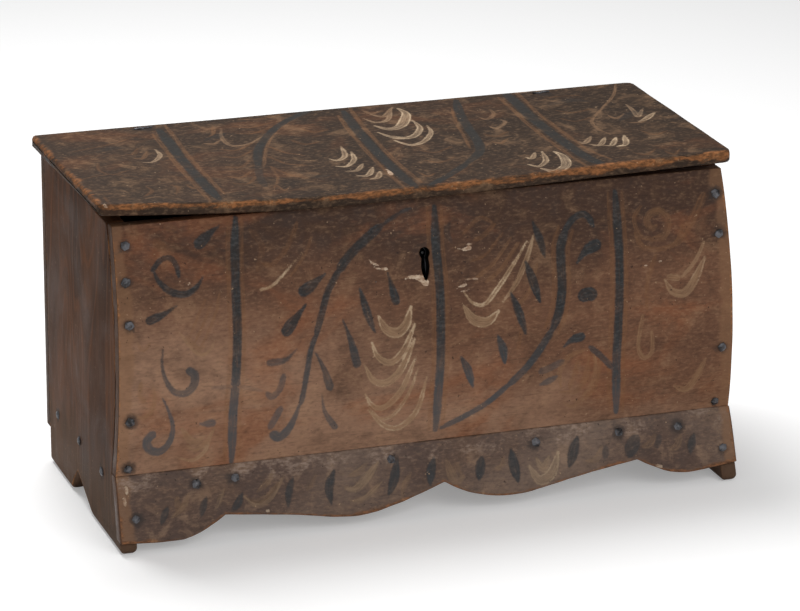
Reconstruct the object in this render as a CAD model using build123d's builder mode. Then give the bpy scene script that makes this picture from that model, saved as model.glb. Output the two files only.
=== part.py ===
from build123d import *
import os
from math import atan2, cos, hypot, pi, radians, sin, sqrt

# A nailed six-board keepsake box with a bowed front, a scalloped skirt and a warped lid.
# Millimetres. X runs along the length to the viewer's right, Y goes to the back, Z is up.
# The origin is on the floor, under the middle of the whole box's outline.

# Case
CASE_LENGTH = 610.0  # over the end boards, at the floor
CASE_X = 3.0  # the case stands this far right of the lid's middle
END_LEAN = 8.0  # how far each end leans in, at the top of the front
FRONT_Y = -120.0  # outer face of the front board at its lower edge
CASE_DEPTH = 253.5  # from there to the outer face of the back board
END_THICKNESS = 16.0
BOARD_THICKNESS = 12.0  # front and back boards
BOTTOM_THICKNESS = 18.0
BOTTOM_TOP = 66.0
FRONT_LOW = 69.0
FRONT_TOP = 302.0
BACK_LOW = 35.0
BACK_TOP = 309.5

# Bowed front: an arc through the lower edge, the fullest point and the top edge
BOW_FULLEST = 9.8  # how far the bow stands in front of the lower edge
BOW_HEIGHT = 186.0  # where it does
BOW_TOP_BACK = 19.3  # how far the top edge stands behind the lower edge
BOW_TOP_HEIGHT = 304.0

# Skirt
SKIRT_TOP_FRONT = 0.5  # its top arris stands this far in front of the front board
SKIRT_KNEE = (5.5, 58.0)  # below this point, in front of FRONT_Y, the face runs straight
SKIRT_FOOT = (21.4, 15.6)  # forward reach and height of the lower edge at its ends
SKIRT_KNEE_RADIUS = 20.0
SKIRT_RISE = 0.0115  # the lower edge climbs this much to the right
CENTRE_CUSP = (10.0, 32.7)
CUSP = (204.0, 29.5)  # distance from the middle, height
OUTER_LOBE = [(222.0, 20.0), (236.0, 14.8), (268.0, 12.9), (305.0, 16.0)]
INNER_LOBE = [(40.0, 18.6), (78.0, 13.2), (132.0, 20.3), (168.0, 25.2)]
SKIRT_BLANK_LOW = 5.0  # lower edge of the board before its lobes are sawn
SAW_MARGIN = 20.0  # how far the saw cut runs past the board's ends

# Feet, cut out of the end boards by a pointed arch
ARCH_FRONT = 72.0  # distances behind FRONT_Y
ARCH_APEX = (136.0, 28.0)
ARCH_BACK = 163.0
ARCH_FRONT_BEND = (-33.0, 13.0)  # middle of each side: from the apex along, and up
ARCH_BACK_BEND = (17.0, 12.5)
FOOT_ROUND = 5.0
FOOT_SETBACK = 3.5  # toe of the foot behind the outer face of the skirt

# Lid
LID_FRONT = FRONT_Y + BOW_TOP_BACK - 12.0
LID_BACK = FRONT_Y + CASE_DEPTH + 9.1
LID_THICKNESS = 12.3
LID_BACK_LOW = 311.2
LID_NOSE_TOP = 5.0
LID_NOSE_LOW = 3.0
LID_BACK_ROUND = 2.0
# Height of the front edge's underside at places along the lid, because the board has warped
LID_WARP = [
    (-308.5, 315.6),
    (-215.0, 308.4),
    (-125.0, 303.4),
    (-40.0, 302.7),
    (70.0, 304.0),
    (190.0, 307.0),
    (308.5, 309.0),
]

# Hinges: two pairs of linked cotter pins of forged six-sided wire
PIVOT_Y = FRONT_Y + CASE_DEPTH - 2.0
PIVOT_Z = 307.0
HINGE_X = [-200.0, 206.0]
WIRE = 1.05  # radius over the wire's corners
WIRE_SIDES = 6
LID_EYE = 2.5  # radius of the lid pin's eye, to the wire's middle
CASE_EYE = 3.4  # the same of the case pin's eye
CASE_PIN_SLANT = 50.0  # degrees below level, forward through the back board
LEG_GAP = 1.7
LEG_SINK = 0.4  # how deep each leg starts inside the eye's wire
CLENCH = 9.0  # bent-over end of each leg
CLENCH_BEND = 1.7
NOTCH_WIDTH = 11.0
# Corners of the chopped notch for the eyes, behind and above the pivot
NOTCH = [(-6.6, 4.0), (-6.6, -5.0), (-4.2, -7.4), (3.0, -4.4), (3.0, 4.0)]

# Nails with faceted heads
NAIL_HEAD = 4.6  # radius
NAIL_RISE = 1.9
NAIL_SHANK = 2.4  # side, at the head
NAIL_TIP = 1.0
NAIL_LENGTH = 24.0
NAIL_SIDES = 5
NAIL_CROWN = 0.3  # the head's flat top against its foot
NAIL_SINK = 0.3
SMALL_NAIL = 0.6  # scale of the nails in the lock
# Places of the nails: along the case from its middle, and up
FRONT_LEFT_NAILS = [
    (-286.0, 285.0),
    (-288.5, 253.0),
    (-288.5, 215.0),
    (-290.0, 124.0),
    (-291.0, 76.0),
]
FRONT_RIGHT_NAILS = [(288.0, 280.0), (288.0, 243.5), (290.5, 133.0), (288.0, 76.0)]
SKIRT_ROW_NAILS = [
    (-228.0, 56.0),
    (-191.4, 57.5),
    (-40.0, 57.5),
    (104.0, 57.5),
    (188.0, 57.5),
    (248.5, 56.6),
]
SKIRT_END_NAILS = [(-288.4, 32.0), (291.8, 33.0)]
# Behind FRONT_Y, and up
END_NAILS = [(47.0, 58.0), (128.0, 60.0), (208.0, 59.0)]
BACK_NAIL_X = 290.0
BACK_NAIL_Z = [76.0, 145.0, 214.0, 283.0]
BACK_ROW_X = [-196.0, -66.0, 64.0, 194.0]
BACK_ROW_Z = 59.5

# Lock, let into the back of the front board
LOCK_TILT = 15.0  # degrees
KEY_X = -2.0
SEAT_Y = FRONT_Y + 13.4
KEY_Z = 250.0
KEY_HEAD = 5.0  # radius
KEY_SLOT = (7.0, 27.0)
# Limits along the box from the keyhole, and up the lock from it
PLATE_X = (-54.0, 39.0)
PLATE_V = (-31.0, 51.5)
COVER_X = (-44.0, 30.0)
SHEET = 1.5
COVER_V = (-28.0, PLATE_V[1] - SHEET)
LOCK_DEPTH = 20.5
POST_RADIUS = 1.7
POST_PROUD = 6.0
BOLT_DEPTH = (12.1, 15.6)  # into the case, from the lock's seat
BAR_X = (-40.0, 0.0)
BAR_V = (22.0, 34.0)
TALON_X = (-11.0, -4.0)
TALON_DEPTH = 4.5
NECK_X = -10.0
TONGUE_TIP = 11.5
TONGUE_V = (38.5, 44.0)
GUIDES = [((-36.0, -32.0), BAR_V), ((10.8, 13.0), TONGUE_V)]
GUIDE_WALL = 2.0
GUIDE_GAP = 0.4
SPRING_POST = (-40.0, 45.0)
SPRING_BOW = (-27.0, 37.5)
SPRING_END = (-13.0, 35.2)
SPRING_THICKNESS = 0.8
SEAT_RISE = 20.0  # the lock's seat runs out through the board's top edge
LOCK_NAILS = [(-49.0, 24.0), (-49.0, -22.0), (34.5, 24.0), (34.5, -22.0)]
STAPLE_X = 16.0
STAPLE_WIDTH = 3.0
STAPLE_DEPTH = (9.5, 18.0)
STAPLE_BAR = 2.1
STAPLE_LOW = 34.5
STAPLE_EYE_LOW = 37.5
STAPLE_TOP = 65.0
SLOT_FRONT = 2.4
SLOT_HALF = 2.6
SLOT_SPARE = 1.0  # room behind the staple

REAR_Y = FRONT_Y + CASE_DEPTH
TILT = atan2(END_LEAN, FRONT_TOP)


def end_plane(side, inset=0.0):
    """The leaning outer face of one end board, or a plane parallel to it further in."""
    normal = Vector(cos(TILT), 0, side * sin(TILT))
    start = Vector(CASE_X + side * CASE_LENGTH / 2, 0, 0) - normal * (side * inset)
    return Plane(origin=start, x_dir=(0, 1, 0), z_dir=normal)


def bow_centre():
    """Centre (y, z) and radius of the bowed front's outer arc."""
    y1, z1 = FRONT_Y, FRONT_LOW
    y2, z2 = FRONT_Y - BOW_FULLEST, BOW_HEIGHT
    y3, z3 = FRONT_Y + BOW_TOP_BACK, BOW_TOP_HEIGHT
    a1, b1 = 2 * (y2 - y1), 2 * (z2 - z1)
    a2, b2 = 2 * (y3 - y1), 2 * (z3 - z1)
    c1 = y2 * y2 + z2 * z2 - y1 * y1 - z1 * z1
    c2 = y3 * y3 + z3 * z3 - y1 * y1 - z1 * z1
    det = a1 * b2 - a2 * b1
    y = (c1 * b2 - c2 * b1) / det
    z = (a1 * c2 - a2 * c1) / det
    return y, z, hypot(y - y1, z - z1)


BOW_Y, BOW_Z, BOW_R = bow_centre()


def bow_face(z, depth=0.0):
    """Y of the bowed front at height z, or of a face parallel to it further in."""
    radius = BOW_R - depth
    return BOW_Y - sqrt(radius * radius - (z - BOW_Z) ** 2)


SKIRT_BACK_TOP = bow_face(FRONT_LOW, BOARD_THICKNESS)
SKIRT_SLOPE = (SKIRT_FOOT[0] - SKIRT_KNEE[0]) / (SKIRT_KNEE[1] - SKIRT_FOOT[1])


def skirt_back(z):
    """Y of the skirt's flat back at height z, which is also the front of the end boards."""
    return SKIRT_BACK_TOP - (FRONT_LOW - z) * SKIRT_SLOPE


def skirt_front(z):
    """Y of the skirt's straight outer face at height z."""
    return FRONT_Y - SKIRT_KNEE[0] - (SKIRT_KNEE[1] - z) * SKIRT_SLOPE


def bow_arc(z_from, z_to, depth):
    """An arc of the bowed front, in a Y and Z sketch."""
    z_mid = (z_from + z_to) / 2
    ends = [(bow_face(z, depth), z) for z in (z_from, z_mid, z_to)]
    return ThreePointArc(*ends)


# Boards of the case, and the plane in which the lock is seated
LOCK = Plane(
    origin=(KEY_X, SEAT_Y, KEY_Z),
    x_dir=(1, 0, 0),
    z_dir=(0, -cos(radians(LOCK_TILT)), sin(radians(LOCK_TILT))),
)


def lock_rectangle(x_range, v_range):
    """A rectangle in the lock's plane, from its limits along the box and up the lock."""
    centre = ((x_range[0] + x_range[1]) / 2, (v_range[0] + v_range[1]) / 2)
    with Locations(centre):
        return Rectangle(x_range[1] - x_range[0], v_range[1] - v_range[0])


def keyhole():
    """The keyhole's outline: a round head over a slot with a round end."""
    width, height = KEY_SLOT
    Circle(KEY_HEAD)
    with Locations((0, -height / 2 + width / 4)):
        Rectangle(width, height - width / 2)
    with Locations((0, -height + width / 2)):
        Circle(width / 2)


with BuildPart() as front_board:
    with BuildSketch(Plane.YZ):
        with BuildLine():
            bow_arc(FRONT_LOW, FRONT_TOP, 0)
            Line(
                (bow_face(FRONT_TOP), FRONT_TOP),
                (bow_face(FRONT_TOP, BOARD_THICKNESS), FRONT_TOP),
            )
            bow_arc(FRONT_LOW, FRONT_TOP, BOARD_THICKNESS)
            Line(
                (bow_face(FRONT_LOW, BOARD_THICKNESS), FRONT_LOW),
                (bow_face(FRONT_LOW), FRONT_LOW),
            )
        make_face()
    extrude(amount=CASE_LENGTH, both=True)
    split(bisect_by=end_plane(-1), keep=Keep.TOP)
    split(bisect_by=end_plane(1), keep=Keep.BOTTOM)
    with BuildSketch(LOCK):
        lock_rectangle(PLATE_X, (PLATE_V[0], PLATE_V[1] + SEAT_RISE))
    extrude(amount=-2 * LOCK_DEPTH, mode=Mode.SUBTRACT)
    with BuildSketch(LOCK):
        keyhole()
    extrude(amount=2 * BOARD_THICKNESS, both=True, mode=Mode.SUBTRACT)
front_board.part.label = "front_board"

with BuildPart() as back_board:
    with BuildSketch(Plane.YZ):
        with BuildLine():
            Polyline(
                (REAR_Y - BOARD_THICKNESS, BACK_LOW),
                (REAR_Y, BACK_LOW),
                (REAR_Y, BACK_TOP),
                (REAR_Y - BOARD_THICKNESS, BACK_TOP),
                close=True,
            )
        make_face()
    extrude(amount=CASE_LENGTH, both=True)
    split(bisect_by=end_plane(-1), keep=Keep.TOP)
    split(bisect_by=end_plane(1), keep=Keep.BOTTOM)
    # Chopped notches that take the hinge eyes
    with BuildSketch(Plane.YZ):
        with BuildLine():
            Polyline(*[(PIVOT_Y + y, PIVOT_Z + z) for y, z in NOTCH], close=True)
        make_face()
    notch = extrude(amount=NOTCH_WIDTH / 2, both=True, mode=Mode.PRIVATE)
    for x in HINGE_X:
        add(notch.moved(Location((x, 0, 0))), mode=Mode.SUBTRACT)
back_board.part.label = "back_board"

with BuildPart() as bottom_board:
    with BuildSketch(Plane.YZ):
        with BuildLine():
            low = BOTTOM_TOP - BOTTOM_THICKNESS
            Polyline(
                (skirt_back(low), low),
                (REAR_Y - BOARD_THICKNESS, low),
                (REAR_Y - BOARD_THICKNESS, BOTTOM_TOP),
                (skirt_back(BOTTOM_TOP), BOTTOM_TOP),
                close=True,
            )
        make_face()
    extrude(amount=CASE_LENGTH, both=True)
    split(bisect_by=end_plane(-1, END_THICKNESS), keep=Keep.TOP)
    split(bisect_by=end_plane(1, END_THICKNESS), keep=Keep.BOTTOM)
bottom_board.part.label = "bottom_board"


def scallop_points(side, points):
    """Points of the skirt's lower edge on one side, on the rise to the right."""
    return [(side * d + CASE_X, z + side * d * SKIRT_RISE) for d, z in points]


with BuildPart() as skirt_board:
    with BuildSketch(Plane.YZ):
        with BuildLine():
            FilletPolyline(
                (FRONT_Y - SKIRT_TOP_FRONT, FRONT_LOW),
                (FRONT_Y - SKIRT_KNEE[0], SKIRT_KNEE[1]),
                (skirt_front(SKIRT_BLANK_LOW), SKIRT_BLANK_LOW),
                radius=SKIRT_KNEE_RADIUS,
            )
            Polyline(
                (skirt_front(SKIRT_BLANK_LOW), SKIRT_BLANK_LOW),
                (skirt_back(SKIRT_BLANK_LOW), SKIRT_BLANK_LOW),
                (skirt_back(FRONT_LOW), FRONT_LOW),
                (FRONT_Y - SKIRT_TOP_FRONT, FRONT_LOW),
            )
        make_face()
    extrude(amount=CASE_LENGTH, both=True)
    split(bisect_by=end_plane(-1), keep=Keep.TOP)
    split(bisect_by=end_plane(1), keep=Keep.BOTTOM)
    # Lower edge sawn to two wide and two narrow lobes between three cusps
    with BuildSketch(Plane.XZ):
        with BuildLine():
            centre = (CENTRE_CUSP[0] + CASE_X, CENTRE_CUSP[1])
            corners = []
            for side in (-1, 1):
                cusp = scallop_points(side, [CUSP])[0]
                inner = scallop_points(side, INNER_LOBE)
                outer = scallop_points(side, OUTER_LOBE)
                Spline(centre, *inner, cusp)
                Spline(cusp, *outer)
                past_end = outer[-1][0] + side * SAW_MARGIN
                Polyline(outer[-1], (past_end, outer[-1][1]), (past_end, 0))
                corners.append((past_end, 0))
            Line(*corners)
        make_face()
    extrude(amount=CASE_DEPTH, both=True, mode=Mode.SUBTRACT)
skirt_board.part.label = "skirt_board"


def build_end_board(side, name):
    """One end board: two feet and a pointed arch, scribed to the backs of front and skirt."""
    back_edge = REAR_Y - BOARD_THICKNESS
    toe = skirt_front(0) + FOOT_SETBACK
    apex = (FRONT_Y + ARCH_APEX[0], ARCH_APEX[1])
    front_bend = (apex[0] + ARCH_FRONT_BEND[0], ARCH_FRONT_BEND[1])
    back_bend = (apex[0] + ARCH_BACK_BEND[0], ARCH_BACK_BEND[1])
    inside_front = BOARD_THICKNESS / 2
    with BuildPart() as board:
        with BuildSketch(end_plane(side)):
            with BuildLine():
                Polyline(
                    (toe, 0),
                    (skirt_front(SKIRT_KNEE[1]) + FOOT_SETBACK, SKIRT_KNEE[1]),
                    (bow_face(FRONT_LOW, inside_front), FRONT_LOW),
                )
                bow_arc(FRONT_LOW, FRONT_TOP, inside_front)
                Polyline(
                    (bow_face(FRONT_TOP, inside_front), FRONT_TOP),
                    (bow_face(FRONT_TOP, BOARD_THICKNESS), FRONT_TOP),
                    (back_edge, BACK_TOP),
                    (back_edge, 0),
                    (FRONT_Y + ARCH_BACK, 0),
                )
                ThreePointArc((FRONT_Y + ARCH_BACK, 0), back_bend, apex)
                ThreePointArc(apex, front_bend, (FRONT_Y + ARCH_FRONT, 0))
                Line((FRONT_Y + ARCH_FRONT, 0), (toe, 0))
            make_face()
        extrude(amount=-side * END_THICKNESS)
        split(bisect_by=Plane.XY, keep=Keep.TOP)
        soles = board.faces().sort_by(Axis.Z)[:2]
        toes = soles.edges().filter_by(Axis.Y, reverse=True).sort_by(Axis.Y)
        fillet([toes[0], toes[-1]], radius=FOOT_ROUND)
        add([front_board.part, skirt_board.part], mode=Mode.SUBTRACT)
    board.part.label = name
    return board.part


left_end_board = build_end_board(-1, "left_end_board")
right_end_board = build_end_board(1, "right_end_board")


# Lid: lofted through sections along its length, because its front edge has warped
def lid_section(x, front_low):
    """One section of the lid: a board with a round nose in front and a softened back."""
    slope = (LID_BACK_LOW - front_low) / (LID_BACK - LID_FRONT)
    front_high = front_low + LID_THICKNESS
    back_high = LID_BACK_LOW + LID_THICKNESS
    with BuildSketch(Plane.YZ.offset(x)) as section:
        with BuildLine():
            low_start = (LID_FRONT + LID_NOSE_LOW, front_low + slope * LID_NOSE_LOW)
            high_start = (LID_FRONT + LID_NOSE_TOP, front_high + slope * LID_NOSE_TOP)
            low_nose = (LID_FRONT, front_low + LID_NOSE_LOW)
            high_nose = (LID_FRONT, front_high - LID_NOSE_TOP)
            low_end = (LID_BACK - LID_BACK_ROUND, LID_BACK_LOW - slope * LID_BACK_ROUND)
            high_end = (LID_BACK - LID_BACK_ROUND, back_high - slope * LID_BACK_ROUND)
            low_back = (LID_BACK, LID_BACK_LOW + LID_BACK_ROUND)
            high_back = (LID_BACK, back_high - LID_BACK_ROUND)
            Line(low_start, low_end)
            Line(low_end, low_back)
            Line(low_back, high_back)
            Line(high_back, high_end)
            Line(high_end, high_start)
            TangentArc(high_start, high_nose, tangent=(-1, -slope))
            Line(high_nose, low_nose)
            TangentArc(low_start, low_nose, tangent=(-1, -slope))
        make_face()
    return section.sketch


with BuildPart() as lid_board:
    sections = [lid_section(x, low) for x, low in LID_WARP]
    loft(sections)
lid_board.part.label = "lid_board"


# Hinges
def wire_along(points, bend):
    """Six-sided wire through the given points, with round bends."""
    with BuildPart() as wire:
        with BuildLine() as path:
            FilletPolyline(*points, radius=bend)
        with BuildSketch(Plane(origin=path.line @ 0, z_dir=path.line % 0)):
            RegularPolygon(radius=WIRE, side_count=WIRE_SIDES)
        sweep(path=path.line)
    return wire.part


def build_lid_pin(x, name):
    """Cotter pin through the lid: an eye round the pivot, two legs up, ends clenched on top."""
    lid_top = LID_BACK_LOW + LID_THICKNESS
    legs = []
    for way in (-1, 1):
        y = PIVOT_Y + way * LEG_GAP / 2
        start = (x, y, PIVOT_Z + LID_EYE - LEG_SINK)
        bend = (x, y, lid_top)
        legs.append(wire_along([start, bend, (x + way * CLENCH, y, lid_top)], CLENCH_BEND))
    with BuildPart() as pin:
        with BuildSketch(Plane.XY.offset(PIVOT_Z)):
            with Locations((x, PIVOT_Y + LID_EYE)):
                RegularPolygon(radius=WIRE, side_count=WIRE_SIDES)
        revolve(axis=Axis((x, PIVOT_Y, PIVOT_Z), (1, 0, 0)))
        add(legs)
    pin.part.label = name
    return pin.part


def build_case_pin(x, name):
    """Cotter pin driven down through the back board: its eye holds the lid pin's eye."""
    slant = Vector(0, -cos(radians(CASE_PIN_SLANT)), -sin(radians(CASE_PIN_SLANT)))
    pivot = Vector(x, PIVOT_Y, PIVOT_Z)
    centre = pivot + slant * CASE_EYE
    inner_y = REAR_Y - BOARD_THICKNESS
    reach = (PIVOT_Y - inner_y) / -slant.Y
    legs = []
    for way in (-1, 1):
        aside = Vector(way * LEG_GAP / 2, 0, 0)
        start = pivot + slant * (2 * CASE_EYE - LEG_SINK) + aside
        bend = pivot + slant * reach + aside
        legs.append(wire_along([start, bend, bend - Vector(0, 0, CLENCH)], CLENCH_BEND))
    with BuildPart() as pin:
        with BuildSketch(Plane(origin=centre, x_dir=slant, z_dir=(1, 0, 0))):
            with Locations((CASE_EYE, 0)):
                RegularPolygon(radius=WIRE, side_count=WIRE_SIDES)
        revolve(axis=Axis(centre, slant.cross(Vector(1, 0, 0))))
        add(legs)
    pin.part.label = name
    return pin.part


left_lid_pin = build_lid_pin(HINGE_X[0], "left_lid_pin")
right_lid_pin = build_lid_pin(HINGE_X[1], "right_lid_pin")
left_case_pin = build_case_pin(HINGE_X[0], "left_case_pin")
right_case_pin = build_case_pin(HINGE_X[1], "right_case_pin")


# Lock
with BuildPart() as lock_plate:
    with BuildSketch(LOCK):
        lock_rectangle(PLATE_X, PLATE_V)
    extrude(amount=-SHEET)
    # Top edge turned inward, with the slot that the lid's staple drops into
    with BuildSketch(LOCK):
        lock_rectangle(PLATE_X, (PLATE_V[1] - SHEET, PLATE_V[1]))
    extrude(amount=-LOCK_DEPTH)
    with BuildSketch(LOCK.offset(-SLOT_FRONT)):
        slot_x = (STAPLE_X - SLOT_HALF, STAPLE_X + SLOT_HALF)
        lock_rectangle(slot_x, (PLATE_V[1] - 2 * SHEET, PLATE_V[1] + SHEET))
    extrude(amount=SLOT_FRONT - STAPLE_DEPTH[1] - SLOT_SPARE, mode=Mode.SUBTRACT)
    # Two blocks that guide the bolt
    for x_range, bolt_v in GUIDES:
        with BuildSketch(LOCK):
            lock_rectangle(x_range, (bolt_v[0] - GUIDE_WALL, bolt_v[1] + GUIDE_WALL))
        extrude(amount=-BOLT_DEPTH[1] - GUIDE_WALL)
        with BuildSketch(LOCK.offset(GUIDE_GAP - BOLT_DEPTH[0])):
            lock_rectangle(x_range, (bolt_v[0] - GUIDE_GAP, bolt_v[1] + GUIDE_GAP))
        extrude(amount=BOLT_DEPTH[0] - BOLT_DEPTH[1] - 2 * GUIDE_GAP, mode=Mode.SUBTRACT)
    with BuildSketch(LOCK):
        keyhole()
    extrude(amount=2 * SHEET, both=True, mode=Mode.SUBTRACT)
lock_plate.part.label = "lock_plate"

with BuildPart() as lock_cover:
    with BuildSketch(LOCK.offset(-SHEET)):
        lock_rectangle(COVER_X, COVER_V)
    extrude(amount=SHEET - LOCK_DEPTH)
    with BuildSketch(LOCK.offset(-SHEET)):
        inner_x = (COVER_X[0] + SHEET, COVER_X[1] - SHEET)
        lock_rectangle(inner_x, (COVER_V[0] + SHEET, COVER_V[1] + SHEET))
    extrude(amount=2 * SHEET - LOCK_DEPTH, mode=Mode.SUBTRACT)
lock_cover.part.label = "lock_cover"

with BuildPart() as key_post:
    with BuildSketch(LOCK.offset(SHEET - LOCK_DEPTH)):
        Circle(POST_RADIUS)
    extrude(amount=LOCK_DEPTH - SHEET + POST_PROUD)
    chamfer(key_post.edges().sort_by(Axis.Y)[0], length=POST_RADIUS / 3)
key_post.part.label = "key_post"

with BuildPart() as lock_bolt:
    with BuildSketch(LOCK.offset(-BOLT_DEPTH[0])):
        with BuildLine():
            Polyline(
                (BAR_X[0], BAR_V[0]),
                (TALON_X[0], BAR_V[0]),
                (TALON_X[0], BAR_V[0] + TALON_DEPTH),
                (TALON_X[1], BAR_V[0] + TALON_DEPTH),
                (TALON_X[1], BAR_V[0]),
                (BAR_X[1], BAR_V[0]),
                (BAR_X[1], TONGUE_V[0]),
                (TONGUE_TIP, TONGUE_V[0]),
                (TONGUE_TIP, TONGUE_V[1]),
                (NECK_X, TONGUE_V[1]),
                (NECK_X, BAR_V[1]),
                (BAR_X[0], BAR_V[1]),
                close=True,
            )
        make_face()
    extrude(amount=BOLT_DEPTH[0] - BOLT_DEPTH[1])
lock_bolt.part.label = "lock_bolt"

with BuildPart() as lock_spring:
    with BuildSketch(LOCK.offset(-SHEET)):
        with Locations(SPRING_POST):
            Circle(POST_RADIUS)
    extrude(amount=SHEET - BOLT_DEPTH[1])
    with BuildSketch(LOCK.offset(-BOLT_DEPTH[0])):
        with BuildLine() as leaf:
            ThreePointArc(SPRING_POST, SPRING_BOW, SPRING_END)
        trace(leaf.line, line_width=SPRING_THICKNESS)
    extrude(amount=BOLT_DEPTH[0] - BOLT_DEPTH[1])
lock_spring.part.label = "lock_spring"

# Iron staple driven up into the lid; the bolt passes through it
LOCK_SIDE = Plane(
    origin=(KEY_X + STAPLE_X, SEAT_Y, KEY_Z),
    x_dir=(0, cos(radians(LOCK_TILT)), -sin(radians(LOCK_TILT))),
    z_dir=(1, 0, 0),
)
with BuildPart() as lid_staple:
    with BuildSketch(LOCK_SIDE):
        with BuildLine():
            near, far = STAPLE_DEPTH
            Polyline(
                (near, STAPLE_TOP),
                (near, STAPLE_LOW + STAPLE_BAR),
                (near + STAPLE_BAR, STAPLE_LOW),
                (far - STAPLE_BAR, STAPLE_LOW),
                (far, STAPLE_LOW + STAPLE_BAR),
                (far, STAPLE_TOP),
                (far - STAPLE_BAR, STAPLE_TOP),
                (far - STAPLE_BAR, STAPLE_EYE_LOW),
                (near + STAPLE_BAR, STAPLE_EYE_LOW),
                (near + STAPLE_BAR, STAPLE_TOP),
                close=True,
            )
        make_face()
    extrude(amount=STAPLE_WIDTH / 2, both=True)
lid_staple.part.label = "lid_staple"


# Nails
def build_nail(scale):
    """One wrought nail, upright: a low faceted head over a square tapered shank."""
    head_radius = NAIL_HEAD * scale
    head_height = NAIL_RISE * scale + NAIL_SINK
    shrinks = head_radius * (1 - NAIL_CROWN) * cos(pi / NAIL_SIDES)
    shank = NAIL_SHANK * scale
    tip_from, tip_to = (NAIL_SHANK - NAIL_TIP) * scale / 2, (NAIL_SHANK + NAIL_TIP) * scale / 2
    with BuildPart() as nail:
        with BuildSketch():
            RegularPolygon(radius=head_radius, side_count=NAIL_SIDES)
        extrude(amount=head_height)
        crown = nail.faces().sort_by(Axis.Z)[-1]
        chamfer(crown.edges(), length=shrinks, length2=head_height - NAIL_SINK / 2, reference=crown)
        Wedge(
            shank,
            NAIL_LENGTH * scale,
            shank,
            tip_from,
            tip_from,
            tip_to,
            tip_to,
            rotation=(-90, 0, 0),
            align=(Align.CENTER, Align.MIN, Align.CENTER),
        )
    return nail.part


def build_nails(places, name, scale=1.0):
    """A group of separate nails, each given by its point and outward direction."""
    nail = build_nail(scale)
    driven = []
    for point, outward in places:
        seat = Vector(*point) - Vector(*outward).normalized() * NAIL_SINK
        driven.append(Plane(origin=seat, z_dir=outward).location * nail)
    return Compound(label=name, children=driven)


def bow_place(x, z):
    """A place on the bowed front, with its outward direction."""
    y = bow_face(z)
    return (CASE_X + x, y, z), (0, y - BOW_Y, z - BOW_Z)


def skirt_place(x, z):
    """A place on the skirt's straight face, with its outward direction."""
    return (CASE_X + x, skirt_front(z), z), (0, -1, SKIRT_SLOPE)


def end_place(side, y, z):
    """A place on an end board's outer face, with its outward direction."""
    x = CASE_X + side * (CASE_LENGTH / 2 - z * sin(TILT))
    return (x, FRONT_Y + y, z), (side * cos(TILT), 0, sin(TILT))


def back_place(x, z):
    """A place on the back board, with its outward direction."""
    return (CASE_X + x, REAR_Y, z), (0, 1, 0)


def lock_place(x, v):
    """A place on the lock plate, with the direction into the case."""
    at = LOCK.from_local_coords((x, v, -SHEET))
    return tuple(at), tuple(LOCK.z_dir * -1)


nail_groups = [
    build_nails([bow_place(x, z) for x, z in FRONT_LEFT_NAILS], "front_nails_left"),
    build_nails([bow_place(x, z) for x, z in FRONT_RIGHT_NAILS], "front_nails_right"),
    build_nails([skirt_place(x, z) for x, z in SKIRT_ROW_NAILS], "skirt_row_nails"),
    build_nails([skirt_place(x, z) for x, z in SKIRT_END_NAILS], "skirt_end_nails"),
    build_nails([end_place(-1, y, z) for y, z in END_NAILS], "end_nails_left"),
    build_nails([end_place(1, y, z) for y, z in END_NAILS], "end_nails_right"),
    build_nails([back_place(-BACK_NAIL_X, z) for z in BACK_NAIL_Z], "back_nails_left"),
    build_nails([back_place(BACK_NAIL_X, z) for z in BACK_NAIL_Z], "back_nails_right"),
    build_nails([back_place(x, BACK_ROW_Z) for x in BACK_ROW_X], "back_row_nails"),
    build_nails([lock_place(x, v) for x, v in LOCK_NAILS], "lock_nails", SMALL_NAIL),
]

os.makedirs("parts", exist_ok=True)
pieces = [
    left_end_board,
    right_end_board,
    front_board.part,
    back_board.part,
    bottom_board.part,
    skirt_board.part,
    lid_board.part,
    left_lid_pin,
    right_lid_pin,
    left_case_pin,
    right_case_pin,
    lock_plate.part,
    lock_cover.part,
    key_post.part,
    lock_bolt.part,
    lock_spring.part,
    lid_staple.part,
    *nail_groups,
]
for piece in pieces:
    export_step(piece, f"parts/{piece.label}.step")
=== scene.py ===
import math
import random

import bmesh
import bpy
import numpy as np
from mathutils import Matrix, Vector, kdtree, noise


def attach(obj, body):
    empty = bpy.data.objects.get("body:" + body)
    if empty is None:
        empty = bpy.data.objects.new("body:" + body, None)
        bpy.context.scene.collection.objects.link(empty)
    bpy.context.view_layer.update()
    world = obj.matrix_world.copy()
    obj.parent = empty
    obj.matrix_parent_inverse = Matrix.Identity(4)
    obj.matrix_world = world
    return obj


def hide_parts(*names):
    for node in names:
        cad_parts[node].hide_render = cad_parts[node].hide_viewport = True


# A painted keepsake box of nailed boards. Metres; X runs along the length, Y to the back, Z up.

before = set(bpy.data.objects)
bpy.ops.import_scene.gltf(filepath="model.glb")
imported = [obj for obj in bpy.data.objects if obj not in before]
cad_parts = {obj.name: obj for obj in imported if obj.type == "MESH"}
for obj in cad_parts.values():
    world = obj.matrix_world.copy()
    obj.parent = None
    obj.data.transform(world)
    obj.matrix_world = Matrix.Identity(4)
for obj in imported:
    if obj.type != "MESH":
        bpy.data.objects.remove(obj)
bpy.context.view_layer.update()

# Sizes of the case and lid, as the model has them
CASE_LENGTH = 0.610
CASE_X = 0.003
END_LEAN = 0.008
FRONT_Y = -0.120
REAR_Y = 0.1335
END_THICKNESS = 0.016
BOARD = 0.012
FRONT_LOW = 0.069
FRONT_TOP = 0.302
BACK_LOW = 0.035
BACK_TOP = 0.3095
PLAIN_TO = 0.2  # height over which the ends' rows tilt to meet their sloping top
BOW_POINTS = [(FRONT_Y, FRONT_LOW), (FRONT_Y - 0.0098, 0.186), (FRONT_Y + 0.0193, 0.304)]
SKIRT_TOP_FRONT = 0.0005
SKIRT_KNEE = (0.0055, 0.058)
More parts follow.
